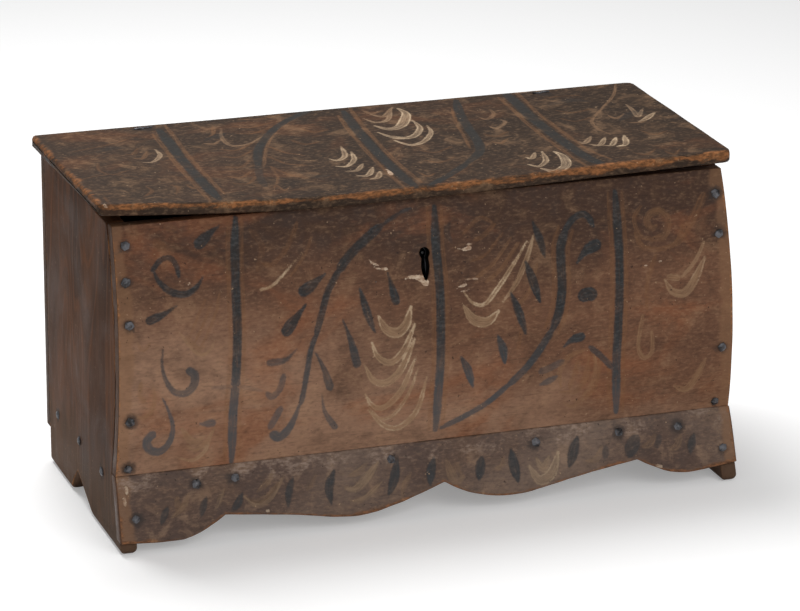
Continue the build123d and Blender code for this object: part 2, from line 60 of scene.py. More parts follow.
SKIRT_FOOT = (0.0214, 0.0156)
SKIRT_MIDDLE_Y = -0.132  # inside the skirt's thickness all along its lower edge
SKIRT_LOWEST = 0.0102
FOOT_SETBACK = 0.0035
LID_HALF = 0.3085
LID_FRONT = FRONT_Y + 0.0073
LID_BACK = REAR_Y + 0.0091
LID_THICKNESS = 0.0123
LID_BACK_LOW = 0.3112
LID_WARP = [
    (-0.3085, 0.3156),
    (-0.215, 0.3084),
    (-0.125, 0.3034),
    (-0.040, 0.3027),
    (0.070, 0.304),
    (0.190, 0.307),
    (0.3085, 0.309),
]
LOCK_TILT = math.radians(15)
LOCK_SEAT = Vector((-0.002, FRONT_Y + 0.0134, 0.250))
LOCK_PLATE = ((-0.054, 0.039), (-0.031, 0.0515))
KEY_HEAD = 0.0054
HINGE_X = (-0.200, 0.206)
PIVOT = (REAR_Y - 0.002, 0.307)
NOTCH = [(-0.0066, 0.004), (-0.0066, -0.005), (-0.0042, -0.0074), (0.003, -0.0044), (0.003, 0.004)]
NOTCH_WIDTH = 0.011

# Nails: along the case from its middle, and up
FRONT_NAILS = {
    "front_nails_left": [
        (-0.286, 0.285),
        (-0.2885, 0.253),
        (-0.2885, 0.215),
        (-0.290, 0.124),
        (-0.291, 0.076),
    ],
    "front_nails_right": [(0.288, 0.280), (0.288, 0.2435), (0.2905, 0.133), (0.288, 0.076)],
}
SKIRT_NAILS = {
    "skirt_row_nails": [
        (-0.228, 0.056),
        (-0.1914, 0.0575),
        (-0.040, 0.0575),
        (0.104, 0.0575),
        (0.188, 0.0575),
        (0.2485, 0.0566),
    ],
    "skirt_end_nails": [(-0.2884, 0.032), (0.2918, 0.033)],
}
END_NAILS = [(0.047, 0.058), (0.128, 0.060), (0.208, 0.059)]
BACK_NAIL_X = 0.290
BACK_NAIL_Z = [0.076, 0.145, 0.214, 0.283]
BACK_ROW_X = [-0.196, -0.066, 0.064, 0.194]
BACK_ROW_Z = 0.0595
NAIL_HEAD = 0.0047
NAIL_RISE = 0.0019
FIRST_SEED = 11

GRID = 0.0015  # spacing of the boards' vertices where they are painted
END_ROUND = 0.0009  # of the boards that run across the case
FURTHEST_WEAR = 30.0  # millimetres from an arris
STAIN = 4.0  # radius in millimetres of the iron stain round a nail
MM = 0.001

# Light
FLOOR_TONE = (0.82, 0.82, 0.82, 1)
FLOOR_GLOW = 0.27  # what the camera and its reflections see besides the floor's lit surface
SKY_TONE = (0.8, 0.8, 0.8, 1)
SKY_LIGHT = 0.32

# The photograph's camera: its frame in pixels, its focal length in pixels, and its place
FRAME_WIDTH = 800
FRAME_HEIGHT = 611
FOCAL = 3958.8
SENSOR = 36.0
AZIMUTH = math.radians(-18.81)
ELEVATION = math.radians(18.25)
ROLL = math.radians(0.05)
TARGET = Vector((0.003, 0.0, 0.170))
DISTANCE = 3.7739
ASIDE = (0.01102, -0.00508)


# Camera
def camera_axes():
    """The camera's right, up and backward directions."""
    back = Vector((
        math.sin(AZIMUTH) * math.cos(ELEVATION),
        -math.cos(AZIMUTH) * math.cos(ELEVATION),
        math.sin(ELEVATION),
    ))
    level = Vector((math.cos(AZIMUTH), math.sin(AZIMUTH), 0))
    upright = back.cross(level)
    right = level * math.cos(ROLL) + upright * math.sin(ROLL)
    up = upright * math.cos(ROLL) - level * math.sin(ROLL)
    return right, up, back


RIGHT, UP, BACK = camera_axes()
EYE = TARGET + BACK * DISTANCE + RIGHT * ASIDE[0] + UP * ASIDE[1]


def make_camera():
    data = bpy.data.cameras.new("camera")
    data.lens = SENSOR * FOCAL / FRAME_WIDTH
    data.sensor_width = SENSOR
    data.clip_end = 50
    camera = bpy.data.objects.new("camera", data)
    turn = Matrix((RIGHT, UP, BACK)).transposed().to_4x4()
    camera.matrix_world = Matrix.Translation(EYE) @ turn
    bpy.context.scene.collection.objects.link(camera)
    bpy.context.scene.camera = camera


def through_pixel(x, y):
    """Direction of the view through one pixel of the photograph."""
    return (RIGHT * (x - FRAME_WIDTH / 2) - UP * (y - FRAME_HEIGHT / 2)) / FOCAL - BACK


def on_surface(pixel, behind):
    """The point where the view through a pixel meets a surface; behind(point) is over 0 past it."""
    ray = through_pixel(*pixel)
    near, far = DISTANCE - 0.6, DISTANCE + 0.6
    for _ in range(40):
        middle = (near + far) / 2
        if behind(EYE + ray * middle) > 0:
            far = middle
        else:
            near = middle
    return EYE + ray * far


# Shapes of the boards
def circle_through(points):
    """Centre and radius of the circle through three points."""
    (x1, y1), (x2, y2), (x3, y3) = points
    a = np.array([[2 * (x2 - x1), 2 * (y2 - y1)], [2 * (x3 - x1), 2 * (y3 - y1)]])
    b = np.array([x2**2 + y2**2 - x1**2 - y1**2, x3**2 + y3**2 - x1**2 - y1**2])
    x, y = np.linalg.solve(a, b)
    return x, y, math.hypot(x - x1, y - y1)


BOW_Y, BOW_Z, BOW_R = circle_through(BOW_POINTS)
SKIRT_SLOPE = (SKIRT_FOOT[0] - SKIRT_KNEE[0]) / (SKIRT_KNEE[1] - SKIRT_FOOT[1])


def bow_face(z, depth=0.0):
    return BOW_Y - math.sqrt((BOW_R - depth) ** 2 - (z - BOW_Z) ** 2)


def skirt_face(z):
    """Outer face of the skirt, whose knee is a round between two straight runs."""
    steep = (SKIRT_KNEE[0] - SKIRT_TOP_FRONT) / (FRONT_LOW - SKIRT_KNEE[1])
    upper = FRONT_Y - SKIRT_TOP_FRONT - (FRONT_LOW - z) * steep
    lower = FRONT_Y - SKIRT_KNEE[0] - (SKIRT_KNEE[1] - z) * SKIRT_SLOPE
    return max(upper, lower)


def skirt_back(z):
    return bow_face(FRONT_LOW, BOARD) - (FRONT_LOW - z) * SKIRT_SLOPE


def end_x(side, z):
    """X of an end board's leaning outer face at height z."""
    return CASE_X + side * (CASE_LENGTH / 2 - z * END_LEAN / FRONT_TOP)


def twist(piece):
    """Stands the rear of the case's left end upright, which leans in only at its front."""
    co = positions(piece)
    back = np.clip((co[:, 1] - FRONT_Y) / (REAR_Y - FRONT_Y), 0.0, 1.0)
    left = np.clip((-0.270 - co[:, 0]) / 0.02, 0.0, 1.0)
    co[:, 0] -= left * back * co[:, 2] * END_LEAN / FRONT_TOP * 0.85
    move_to(piece, co)


def warp(x):
    """Height of the underside of the lid's front edge: a smooth curve through the measured places."""
    xs = [p[0] for p in LID_WARP]
    zs = [p[1] for p in LID_WARP]
    i = min(max(int(np.searchsorted(xs, x)) - 1, 0), len(xs) - 2)

    def slope(k):
        lo, hi = max(k - 1, 0), min(k + 1, len(xs) - 1)
        return (zs[hi] - zs[lo]) / (xs[hi] - xs[lo])

    width = xs[i + 1] - xs[i]
    t = (x - xs[i]) / width
    h00, h10 = (1 + 2 * t) * (1 - t) ** 2, t * (1 - t) ** 2
    h01, h11 = t * t * (3 - 2 * t), t * t * (t - 1)
    return h00 * zs[i] + h10 * width * slope(i) + h01 * zs[i + 1] + h11 * width * slope(i + 1)


def lid_top(x, y):
    """Height of the lid's upper face."""
    part = (y - LID_FRONT) / (LID_BACK - LID_FRONT)
    low = warp(min(max(x, -LID_HALF), LID_HALF))
    return low + (LID_BACK_LOW - low) * part + LID_THICKNESS


def steps(start, end, spacing):
    """Even steps from start up to, and without, end."""
    count = max(1, round(abs(end - start) / spacing))
    return [start + (end - start) * i / count for i in range(count)]


def rounded(points, radius, bends=3):
    """A closed outline with each of its sharp corners turned into a small round."""
    result = []
    total = len(points)
    for i in range(total):
        before, here, after = (Vector(points[(i + k) % total]) for k in (-1, 0, 1))
        back, ahead = before - here, after - here
        turn = math.pi - back.angle(ahead)
        if turn < math.radians(35):
            result.append(tuple(here))
            continue
        reach = min(radius * math.tan(turn / 2), back.length * 0.6, ahead.length * 0.6)
        start, end = here + back.normalized() * reach, here + ahead.normalized() * reach
        for k in range(bends + 1):
            t = k / bends
            curve = start * (1 - t) ** 2 + here * 2 * t * (1 - t) + end * t * t
            result.append(tuple(curve))
    return result


def inset(outline, amount):
    """The outline moved inward, for the small round at a board's end."""
    pts = np.array(outline)
    ahead, behind = np.roll(pts, -1, axis=0), np.roll(pts, 1, axis=0)
    along = ahead - behind
    along /= np.linalg.norm(along, axis=1)[:, None] + 1e-12
    inward = np.stack([-along[:, 1], along[:, 0]], axis=1)
    area = np.sum(pts[:, 0] * ahead[:, 1] - ahead[:, 0] * pts[:, 1])
    return pts + inward * (amount if area > 0 else -amount)


def ring_faces(rows, per, start=0):
    """Faces between closed rows of vertices, each with per of them."""
    faces = []
    for a in range(start, start + (rows - 1) * per, per):
        for i in range(per):
            k = (i + 1) % per
            faces.append((a + i, a + k, a + per + k, a + per + i))
    return faces


def make_board(name, outline, place, end_round, length, spacing):
    """A closed board with rounded ends.

    outline(t) is its section at t from 0 to 1 along it; place(t, a, b) puts a point of it in space.
    """
    end = end_round / length
    start = [(0.0, end_round), (0.13 * end, 0.5 * end_round), (0.5 * end, 0.13 * end_round), (end, 0.0)]
    stations = [i * spacing / length for i in range(int(length / spacing))]
    inner = [(t, 0.0) for t in stations if end < t < 1 - end]
    full = start + inner + [(1 - t, amount) for t, amount in reversed(start)]
    vertices = []
    for t, amount in full:
        section = inset(outline(t), amount) if amount else outline(t)
        vertices += [place(t, a, b) for a, b in section]
    per = len(vertices) // len(full)
    faces = ring_faces(len(full), per)
    faces.append(tuple(reversed(range(per))))
    faces.append(tuple(range((len(full) - 1) * per, len(full) * per)))
    return new_piece(name, vertices, faces)


def new_piece(name, vertices, faces):
    """An object with smooth faces, turned outward."""
    mesh = bpy.data.meshes.new(name)
    mesh.from_pydata(vertices, [], faces)
    bm = bmesh.new()
    bm.from_mesh(mesh)
    bmesh.ops.recalc_face_normals(bm, faces=bm.faces)
    for face in bm.faces:
        face.smooth = True
    bm.to_mesh(mesh)
    bm.free()
    piece = bpy.data.objects.new(name, mesh)
    bpy.context.scene.collection.objects.link(piece)
    return piece


def cut(piece, cutter):
    """Takes the cutter's shape out of the piece, for good."""
    step = piece.modifiers.new("cut", "BOOLEAN")
    step.operation = "DIFFERENCE"
    step.solver = "MANIFOLD"
    step.object = cutter
    graph = bpy.context.evaluated_depsgraph_get()
    mesh = bpy.data.meshes.new_from_object(piece.evaluated_get(graph))
    piece.modifiers.clear()
    piece.data = mesh
    bpy.data.objects.remove(cutter)


def prism(name, outline, place, depth_from, depth_to):
    """A closed prism over an outline, for cutting."""
    count = len(outline)
    vertices = [place(a, b, depth_from) for a, b in outline] + [place(a, b, depth_to) for a, b in outline]
    faces = [tuple(range(count)), tuple(reversed(range(count, 2 * count)))]
    for i in range(count):
        k = (i + 1) % count
        faces.append((i, i + count, k + count, k))
    return new_piece(name, vertices, faces)


def positions(piece):
    vertices = piece.data.vertices
    co = np.empty(len(vertices) * 3, dtype=np.float32)
    vertices.foreach_get("co", co)
    return co.reshape(-1, 3).astype(float)


def move_to(piece, co):
    piece.data.vertices.foreach_set("co", co.astype(np.float32).ravel())
    piece.data.update()


def hollow(piece, amount, sizes, seed):
    """Presses the surface in unevenly, as hand planing and wear leave it. It never goes outward."""
    co = positions(piece)
    normals = np.empty(len(co) * 3, dtype=np.float32)
    piece.data.vertices.foreach_get("normal", normals)
    normals = normals.reshape(-1, 3)
    shift = Vector((seed * 3.7, seed * 1.3, seed * 5.1))
    for i in range(len(co)):
        p = Vector((co[i][0] / sizes[0], co[i][1] / sizes[1], co[i][2] / sizes[2])) + shift
        co[i] -= normals[i] * amount * (0.5 + 0.5 * noise.noise(p))
    move_to(piece, co)


def store(piece, name, values):
    """Stores one number for each vertex, for the materials to read."""
    attribute = piece.data.attributes.new(name, "FLOAT", "POINT")
    attribute.data.foreach_set("value", np.array(values, dtype=np.float32))


def wear_from(piece, arrises):
    """Stores each vertex's distance in mm to the nearest arris, divided by how widely that arris is worn."""
    co = positions(piece)
    nearest = np.full(len(co), FURTHEST_WEAR)
    for line, width in arrises:
        points = []
        for a, b in zip(line, line[1:]):
            a, b = Vector(a), Vector(b)
            count = max(1, int((b - a).length / MM))
            points += [a.lerp(b, i / count) for i in range(count + 1)]
        tree = kdtree.KDTree(len(points))
        for i, point in enumerate(points):
            tree.insert(point, i)
        tree.balance()
        far = np.array([tree.find(Vector(p))[2] for p in co]) / MM / width
        nearest = np.minimum(nearest, far)
    store(piece, "edge", nearest)


def mark_ends(piece):
    """Stores each vertex's distance in mm from the nearer sawn end of a board of the case."""
    co = positions(piece)
    half = CASE_LENGTH / 2 - co[:, 2] * END_LEAN / FRONT_TOP
    store(piece, "ends", (half - np.abs(co[:, 0] - CASE_X)) / MM)


# Painted strokes
FAR = 40.0  # millimetres: no stroke near


def smooth_line(points, per_span=8):
    """Points of a smooth curve through the given ones."""
    p = [np.array(q, dtype=float) for q in points]
    if len(p) == 2:
        return [p[0] + (p[1] - p[0]) * i / per_span for i in range(per_span + 1)]
    p = [2 * p[0] - p[1]] + p + [2 * p[-1] - p[-2]]
    out = []
    for a, b, c, d in zip(p, p[1:], p[2:], p[3:]):
        for i in range(per_span):
            t = i / per_span
            bend = (2 * a - 5 * b + 4 * c - d) * t**2 + (3 * b - a - 3 * c + d) * t**3
            out.append(0.5 * (2 * b + (c - a) * t + bend))
    out.append(p[-2])
    return out


def width_at(kind, t):
    """How a stroke's width changes along it, from 0 to 1."""
    if kind == "drop":
        return 0.22 + 0.78 * min(1.0, t / 0.75) ** 1.3
    if kind == "crescent":
        return 0.18 + 0.82 * math.sin(math.pi * min(max(t, 0.02), 0.98)) ** 0.8
    return 1.0 - 0.45 * max(0.0, abs(2 * t - 1) - 0.8) / 0.2


def paint(piece, layer, strokes, behind, flat):
    """Stores, for each vertex, how far it lies from the nearest stroke's edge and where along that stroke.

    A stroke is (kind, width in mm, strength, pixels of the photograph). flat(points) gives places on
    the board's own surface in mm.
    """
    places = flat(positions(piece))
    found = np.tile([FAR, 0.0, 0.0], (len(places), 1))
    strength = np.zeros(len(places))
    for number, (kind, width, force, pixels) in enumerate(strokes):
        line = np.array([flat(np.array([on_surface(q, behind)]))[0] for q in pixels])
        line = np.array(smooth_line(line))
        margin = width / 2 + 7.0
        near = np.all((places > line.min(0) - margin) & (places < line.max(0) + margin), axis=1)
        index = np.nonzero(near)[0]
        q = places[index]
        lengths = np.linalg.norm(np.diff(line, axis=0), axis=1)
        run = np.concatenate([[0], np.cumsum(lengths)])
        best = np.tile([FAR, 0.0, 0.0], (len(index), 1))
        for i, (a, b) in enumerate(zip(line, line[1:])):
            ab = b - a
            t = np.clip(((q - a) @ ab) / (ab @ ab + 1e-9), 0, 1)
            off = q - a - t[:, None] * ab
            gap = np.linalg.norm(off, axis=1)
            start, end = (width / 2 * width_at(kind, run[k] / run[-1]) for k in (i, i + 1))
            side = np.sign(ab[0] * off[:, 1] - ab[1] * off[:, 0]) * gap
            here = np.stack([gap - (start + (end - start) * t), run[i] + t * lengths[i], side], axis=1)
            better = here[:, 0] < best[:, 0]
            best[better] = here[better]
        closer = best[:, 0] < found[index, 0]
        # Each stroke's brush marks are its own
        found[index[closer]] = best[closer] + (0.0, number * 37.0, number * 11.0)
        strength[index[closer]] = force
    place = piece.data.attributes.new(layer, "FLOAT_VECTOR", "POINT")
    place.data.foreach_set("vector", found.astype(np.float32).ravel())
    store(piece, layer + "_strength", strength)


def paint_layers(piece, layers, behind, flat):
    for layer, found in zip(("ink", "tan", "chips"), layers):
        paint(piece, layer, found, behind, flat)


def paint_spots(piece, layer, spots):
    """Stores each vertex's distance in mm to the edge of the nearest of some round spots, given in space."""
    co = positions(piece)
    distance = np.full(len(co), FAR)
    for centre, radius in spots:
        distance = np.minimum(distance, np.linalg.norm(co - np.array(centre), axis=1) / MM - radius)
    store(piece, layer, distance)


def strokes_from(text):
    """Strokes from lines of text: a kind, a width in mm, a strength and pixels of the photograph."""
    found = []
    for line in text.strip().splitlines():
        kind, width, strength, *pixels = line.split()
        pixels = [tuple(float(v) for v in pixel.split(",")) for pixel in pixels]
        found.append((kind, float(width), float(strength), pixels))
    return found


FRONT_INK = strokes_from("""
even 8.5 1 235.5,218 235,250 236,290 237.5,334 236,380 233,417 231.5,462
even 8.5 1 434.5,207 436,247 439.5,281 441,330 440.5,365 438,398 435.5,430
even 8.5 1 615,192 617.5,225 619.5,258 619.5,300 618,334 616.5,366 616,412
drop 10 0.9 219,226 209,234 199,244
even 5 0.8 152,271 160,261 169,258 176,265 179,277
crescent 6.5 0.85 153,270 159,282 171,292 185,294.5 196,288 203,277
drop 8 1 177,306 163,315 150,321
drop 8 0.75 163,350 162,363 165,378 173,391 184,394 193,387 195,376 190,371
drop 8.5 0.75 163,399 169,412 173,428 169,443 159,452 149,449 147,441 152,435
drop 8 0.7 200,424 206,424 212,423
even 3.5 0.7 411,208 400,213 388,221 377,229
even 8.5 0.95 381,226 367,238 349,256 338,272
even 6.5 0.95 341,268 336,276 327.5,293 320,321 316,337
even 5.5 0.8 317,333 311,350 307,373 302,400 300,405
drop 9 0.8 303,396 295,417 288,430 279,437.5 274,435
drop 11 0.9 325,274 311,286 304,291
drop 11 0.9 306,305 294,321 287,331
drop 7 0.65 297,349 286,360 270,363
even 6 0.6 284,375 280,389 272,397 267,393
even 7 0.6 281,408 275,419 270,428
drop 8 0.9 388,273 392,287 396,301
crescent 7.5 0.9 360,289 368,315 375,332
drop 8 0.8 343,320 351,341 357,364
drop 7.5 0.75 316,353 324,369 330,387
drop 6 0.65 322,395 325,412 335,427
even 4 0.25 212,388 240,387 262,391
even 6 0.9 593,226 589,218 582,214 572,220 565,231
even 9 1 566,228 561,247 561.5,268 562,290 559,312 552,331
even 7.5 0.95 553,329 541,348 528,366 508,386
even 6 0.9 511,383 487,403 463,417 441,428
crescent 7.5 0.9 533,222 540,240 545,257
crescent 9 0.9 526,262 533,281 540,302
crescent 8 0.95 511,293 519,312 526,334
crescent 8.5 0.9 498,336 503,349 505,363
crescent 8 0.85 461,357 468,370 473,387
drop 11 0.9 577,263 586,251 596,245
even 13 0.85 583,296 589,294 592,295
drop 9 0.95 564,347 572,340 581,337
even 6 0.75 590,347 602,357 612,368
even 7 0.5 563,361 550,368 540,372
crescent 7 0.7 558,376 549,381 540,385
crescent 6 0.35 452,243 447,232 450,222
""")

FRONT_TAN = strokes_from("""
crescent 4 0.7 179,332 191,347 201,355 210,350 215,339
crescent 6 0.5 186,336 197,349 206,347
even 3 0.45 200,349 208,334 216,313 220,292
even 3 0.4 195,343 203,326 211,304
even 3 0.35 190,338 196,322 205,300
crescent 4 0.5 137,341 143,350 151,343
even 5 0.55 141,383 140,395 144,403
crescent 5 0.6 131,413 141,419 150,414 155,401 153,384
crescent 7 0.7 182,428 188,438 196,442 205,435
crescent 4.5 0.7 187,446 195,450 207,441 215,427
crescent 4 0.75 176,457 191,460.5 204,452 212,434
drop 3 1.15 302,252 295,261 284,274 272,286 261,290
even 4 0.35 261,263 271,265 281,256 291,237
even 5 0.35 297,223 291,239 283,255
even 3 0.45 312,236 304,256 291,276
even 6 0.22 250,230 262,246 258,270
even 7 0.3 166,227 174,229
even 8 0.25 155,243 163,247
crescent 10 0.95 379,317 386,329 397,333 406,325 411,307
crescent 7 0.95 372,343 378,357 391,362.5 404,350 415,324
crescent 8 0.95 365,366 373,380 386,383 400,371 415,339
crescent 6.5 0.9 365,394 373,406 385,407 401,391 416,357
crescent 4 0.85 368,406 380,418.5 393,415 408,395 419,366
crescent 6 0.9 368,410 384,425.5 400,427 417,410 427,377
even 4 0.4 463,234 469,227 480,218 492,222
even 4 0.4 474,240 483,236 495,224
even 3.5 0.5 476,278 493,264 511,238
even 4 0.5 486,282 502,268 519,242
even 3 0.4 470,262 486,254 503,233
crescent 4.5 1.15 463,291 473,303 485,304 498,288 515,262 527,241
crescent 5.5 0.8 503,302 517,282 528,255 534,234
crescent 10 0.95 464,306 473,319 487,322 499,311
even 4 0.5 517,307 530,290 537,264
even 4 0.35 518,349 522,325 517,310
crescent 6 0.55 587,349 569,357 560,372 561,388
crescent 6 0.6 592,350 596,368 589,390 574,406 564,403
crescent 5 0.5 601,355 598,379 587,396 573,401
crescent 7 0.5 589,356 586,377 576,391 561,392
even 6 0.45 579,360 574,376 570,388
even 7 0.5 656,226 652,228 647,222 650,214 660,211 668,220 665,235 652,240
even 4 0.45 652,240 640,235 634,219 641,206
even 5 0.45 682,225 677,242 660,249 643,247 635,233
even 8 0.4 677,244 692,220 704,194
even 3.5 0.7 704,242 696,260 682,277
crescent 9 0.8 665,280 672,291 684,293 694,281 705,257
even 6 0.7 668,277 679,278
even 4.5 0.65 643,315 638.5,345 644,358 652,351 652,332
crescent 8 0.65 674,386 686,389 698,374 706,358
even 5 0.35 656,255 648,281 647,308
""")

# Wet edges of brown-orange beside the stripes and the stems, thin and faint
FLANKS = [(0, -7.0), (0, 6.5), (1, -6.8), (1, 6.6), (2, -7.2), (2, 6.6), (27, 7.0), (27, -7.5)]

# Bare wood where the paint has come off
FRONT_CHIPS = strokes_from("""
drop 6.5 1 405,279 413,277 422,279 426,283
crescent 2.2 0.8 369,260 373,263.5 379,265.5
drop 2.6 0.9 374,267.5 380,269 387,269
drop 3.6 0.9 457,248.5 463,249.5 470,248
even 1.6 0.7 466,245 472,243.5
drop 2.6 0.8 455,289.5 460,287 466,284.5
even 1.6 0.7 464,281 472,278.5 478,279
even 1.6 0.6 461,292 470,289.5
even 1.8 0.7 645,266 647.5,265
even 1.8 0.7 659,262 661.5,261
even 1.8 0.8 188.5,284 190,283
""")

SKIRT_INK = strokes_from("""
crescent 6.5 0.7 168,507 164,516 161,524
crescent 6.5 0.75 206,497 203,507 201,516
crescent 7 0.8 242,493 238,503 232,510
crescent 7 0.75 293,477 289,491 288,506
crescent 8.5 0.85 334,470 329,487 331,503
crescent 9.5 0.9 397,460 394,478 389,494
crescent 9 0.85 434,458 431,470 430,484
crescent 10 0.9 482,457 480,468 479,479
crescent 10.5 0.95 511,450 514,466 518,481
crescent 10.5 0.9 577,437 573,452 569,466
crescent 7 0.5 606,446 605,459
crescent 14 0.7 637,436 631,448 629,456
crescent 8 0.65 694,434 691,445 690,453
even 6 0.4 659,436 657,446
""")

SKIRT_TAN = strokes_from("""
crescent 5 0.45 189,492 184,505 172,518
crescent 5 0.4 178,496 176,508
crescent 4.5 0.55 224,488 219,502 214,510
crescent 5.5 0.6 243,496 257,505 272,495 284,475
crescent 6 0.5 257,492 267,482 274,470
crescent 5 0.45 249,500 264,499 278,483
crescent 8 0.65 345,488 355,489 366,478 378,462
crescent 5 0.6 350,501 365,498 382,481
crescent 6 0.5 348,476 358,472 366,464
crescent 6 0.4 411,472 404,486 402,496
crescent 9 0.5 446,460 455,480 464,476
crescent 6 0.45 455,462 461,474
crescent 10 0.8 529,466 540,480 552,472 558,452
crescent 7 0.7 536,458 543,468 549,456
crescent 6 0.5 586,461 596,459 602,446
crescent 7 0.4 642,447 650,443 655,434
crescent 7 0.45 670,450 677,445 681,434
crescent 5 0.4 494,470 501,466 504,456
crescent 4 0.4 306,492 312,484 316,474
""")

SKIRT_CHIPS = strokes_from("""
even 3 0.8 126,486 127,494
even 3.5 0.7 124,498 125,505
even 3 0.6 656,465.5 662,466.5
even 2.5 0.6 266,510.5 269,511
""")

LID_INK = strokes_from("""
even 10.5 0.95 158.5,129 170,143 181,158 200,179 219,199
even 10 0.95 343.5,111 356,128 370,144 386,161 401,175 418,188
even 11.5 0.95 503,91 519,105 535,120 563,141 587,157 609,166
even 8.5 0.85 313,109 298,115 284,122 272,131 264,140 258,151 258,166
even 7.5 0.45 258,164 260,176 265,186
even 9.5 0.85 456,100 460,113 468,127 476,138 480,147 478,154 465,164
even 8 0.85 467,163 452,173 438,181 430,186
crescent 12 0.35 548,105 570,100 590,101
crescent 12 0.35 620,120 636,112 648,116
crescent 10 0.35 205,140 215,137 224,133
crescent 10 0.3 96,152 112,148 128,148
crescent 9 0.3 300,172 315,176 330,175
""")

LID_TAN = strokes_from("""
crescent 5 0.85 142,162 153,161.5 160,155 155,149
crescent 5 0.5 133,158 143,158 147,151
crescent 5 0.35 124,154 133,154 138,148
crescent 4.5 0.6 204,143 214,143.5 220,140
crescent 4.5 0.65 221,128 222,138 231,145 247,144 263,136
crescent 4.5 0.45 213,125 213,133 208,137
even 3.5 0.4 220,149 236,150 252,143
even 3.5 0.4 222,156 238,157 252,150
even 3.5 0.4 226,166 240,167 250,160
even 3.5 0.45 228,176 241,177 252,170
even 4 0.4 234,183 248,183 256,176
even 4 0.4 232,126 250,127 272,122
even 4 0.4 238,119 262,118 285,113
even 4 0.35 236,133 254,133 272,126
even 3.5 0.5 305,113 285,124 272,136 266,150 264,166
even 3 0.45 272,168 278,178 274,188
crescent 3.5 0.5 276,184 284,190 290,186
even 4 0.4 268,146 284,152 304,155
even 4 0.4 268,156 286,163 306,165
even 4 0.4 270,166 288,174 308,178
even 4 0.35 292,140 304,144 318,142
even 4 0.35 300,128 314,132 328,129
crescent 5.5 0.85 329,158.5 338,160 345,155 341,146
crescent 5.5 0.9 336,166 347,166 354,159 351,151
crescent 5.5 0.85 346,171 357,170 363,163
crescent 6 0.9 357,175.5 368,175 373,167
crescent 6 0.8 370,179 378,177 380,171
crescent 4 0.6 362,110 372,113 382,110
crescent 5 0.75 363,118 376,122 388,119 391,108
crescent 6 0.7 370,114 384,116 392,107
crescent 11 1 375,125.5 389,128.5 401,125 406,114 398,108
crescent 7.5 1 378,132 394,137 412,136.5 420,128 413,120
crescent 6 0.9 394,140 410,144.5 424,141 431,132 427,125
even 3 0.4 420,150 436,152 452,146
even 3 0.35 424,160 440,162 456,156
crescent 3.5 0.4 418,172 428,176 436,172
even 3.5 0.45 452,108 456,122 464,136 470,148
crescent 5 0.6 479,117 487,119 494,114 490,109
crescent 5.5 0.65 489,126 497,128 505,122 500,119
crescent 4.5 0.5 492,141 500,143 508,138
even 3.5 0.3 484,134 496,136 508,131
crescent 5.5 0.85 526,157 532,158 535,152
crescent 6 0.9 528,164 539,166 546,160 542,151
crescent 10 1.25 541,168 555,170.5 566,165 563,156 554,151
crescent 6 0.8 575,141 585,142.5 591,136
crescent 6 0.9 590,144 600,144.5 605,137
crescent 6 1 604,145 612,144.5 616,137
crescent 6.5 1 617,146 626,143.5 624,135
crescent 5 0.6 608,115 616,118 624,114
crescent 5.5 0.75 626,104 633,110 638,116 643,108
crescent 6.5 0.85 637,122 645,119 655,112
crescent 4.5 0.6 628,122 638,122 646,120
even 3.2 0.6 616,83 613,95 602,108 592,120 597,128 610,134
even 3 0.35 560,118 576,121 592,117
even 3 0.35 556,110 574,112 592,108
even 3 0.35 545,98 560,96 580,95
crescent 4 0.4 640,130 655,134 668,130
crescent 4 0.35 632,152 646,154 656,148
crescent 4 0.4 664,150 674,154 680,148
crescent 4 0.4 146,186 152,191 143,197
crescent 4 0.35 166,184 178,187 176,194
crescent 4 0.45 186,184 194,188 204,186
even 3 0.3 84,178 108,174 136,176
even 3 0.4 98,163 99,170 112,174 128,170
even 3 0.3 70,152 92,148 118,142 138,134
even 3 0.35 104,196 110,203 120,207
""")

LID_CHIPS = strokes_from("""
drop 4.5 0.9 385,169 388,170 391,174
even 4 0.45 516,92.5 528,91 540,88
even 4 0.5 536,91 550,87
even 3 0.6 283,206.5 298,206
even 3 0.5 104,203 112,208
""")


def beside(strokes, number, offset, strength, width=2.6):
    """A thin stroke that runs beside another one, to its right for a positive offset in pixels."""
    pixels = [np.array(p, dtype=float) for p in strokes[number][3]]
    out = []
    for i, p in enumerate(pixels):
        way = pixels[min(i + 1, len(pixels) - 1)] - pixels[max(i - 1, 0)]
        way /= np.linalg.norm(way)
        out.append(tuple(p + np.array([way[1], -way[0]]) * offset * (-1 if way[1] < 0 else 1)))
    return ("even", width, strength, out)


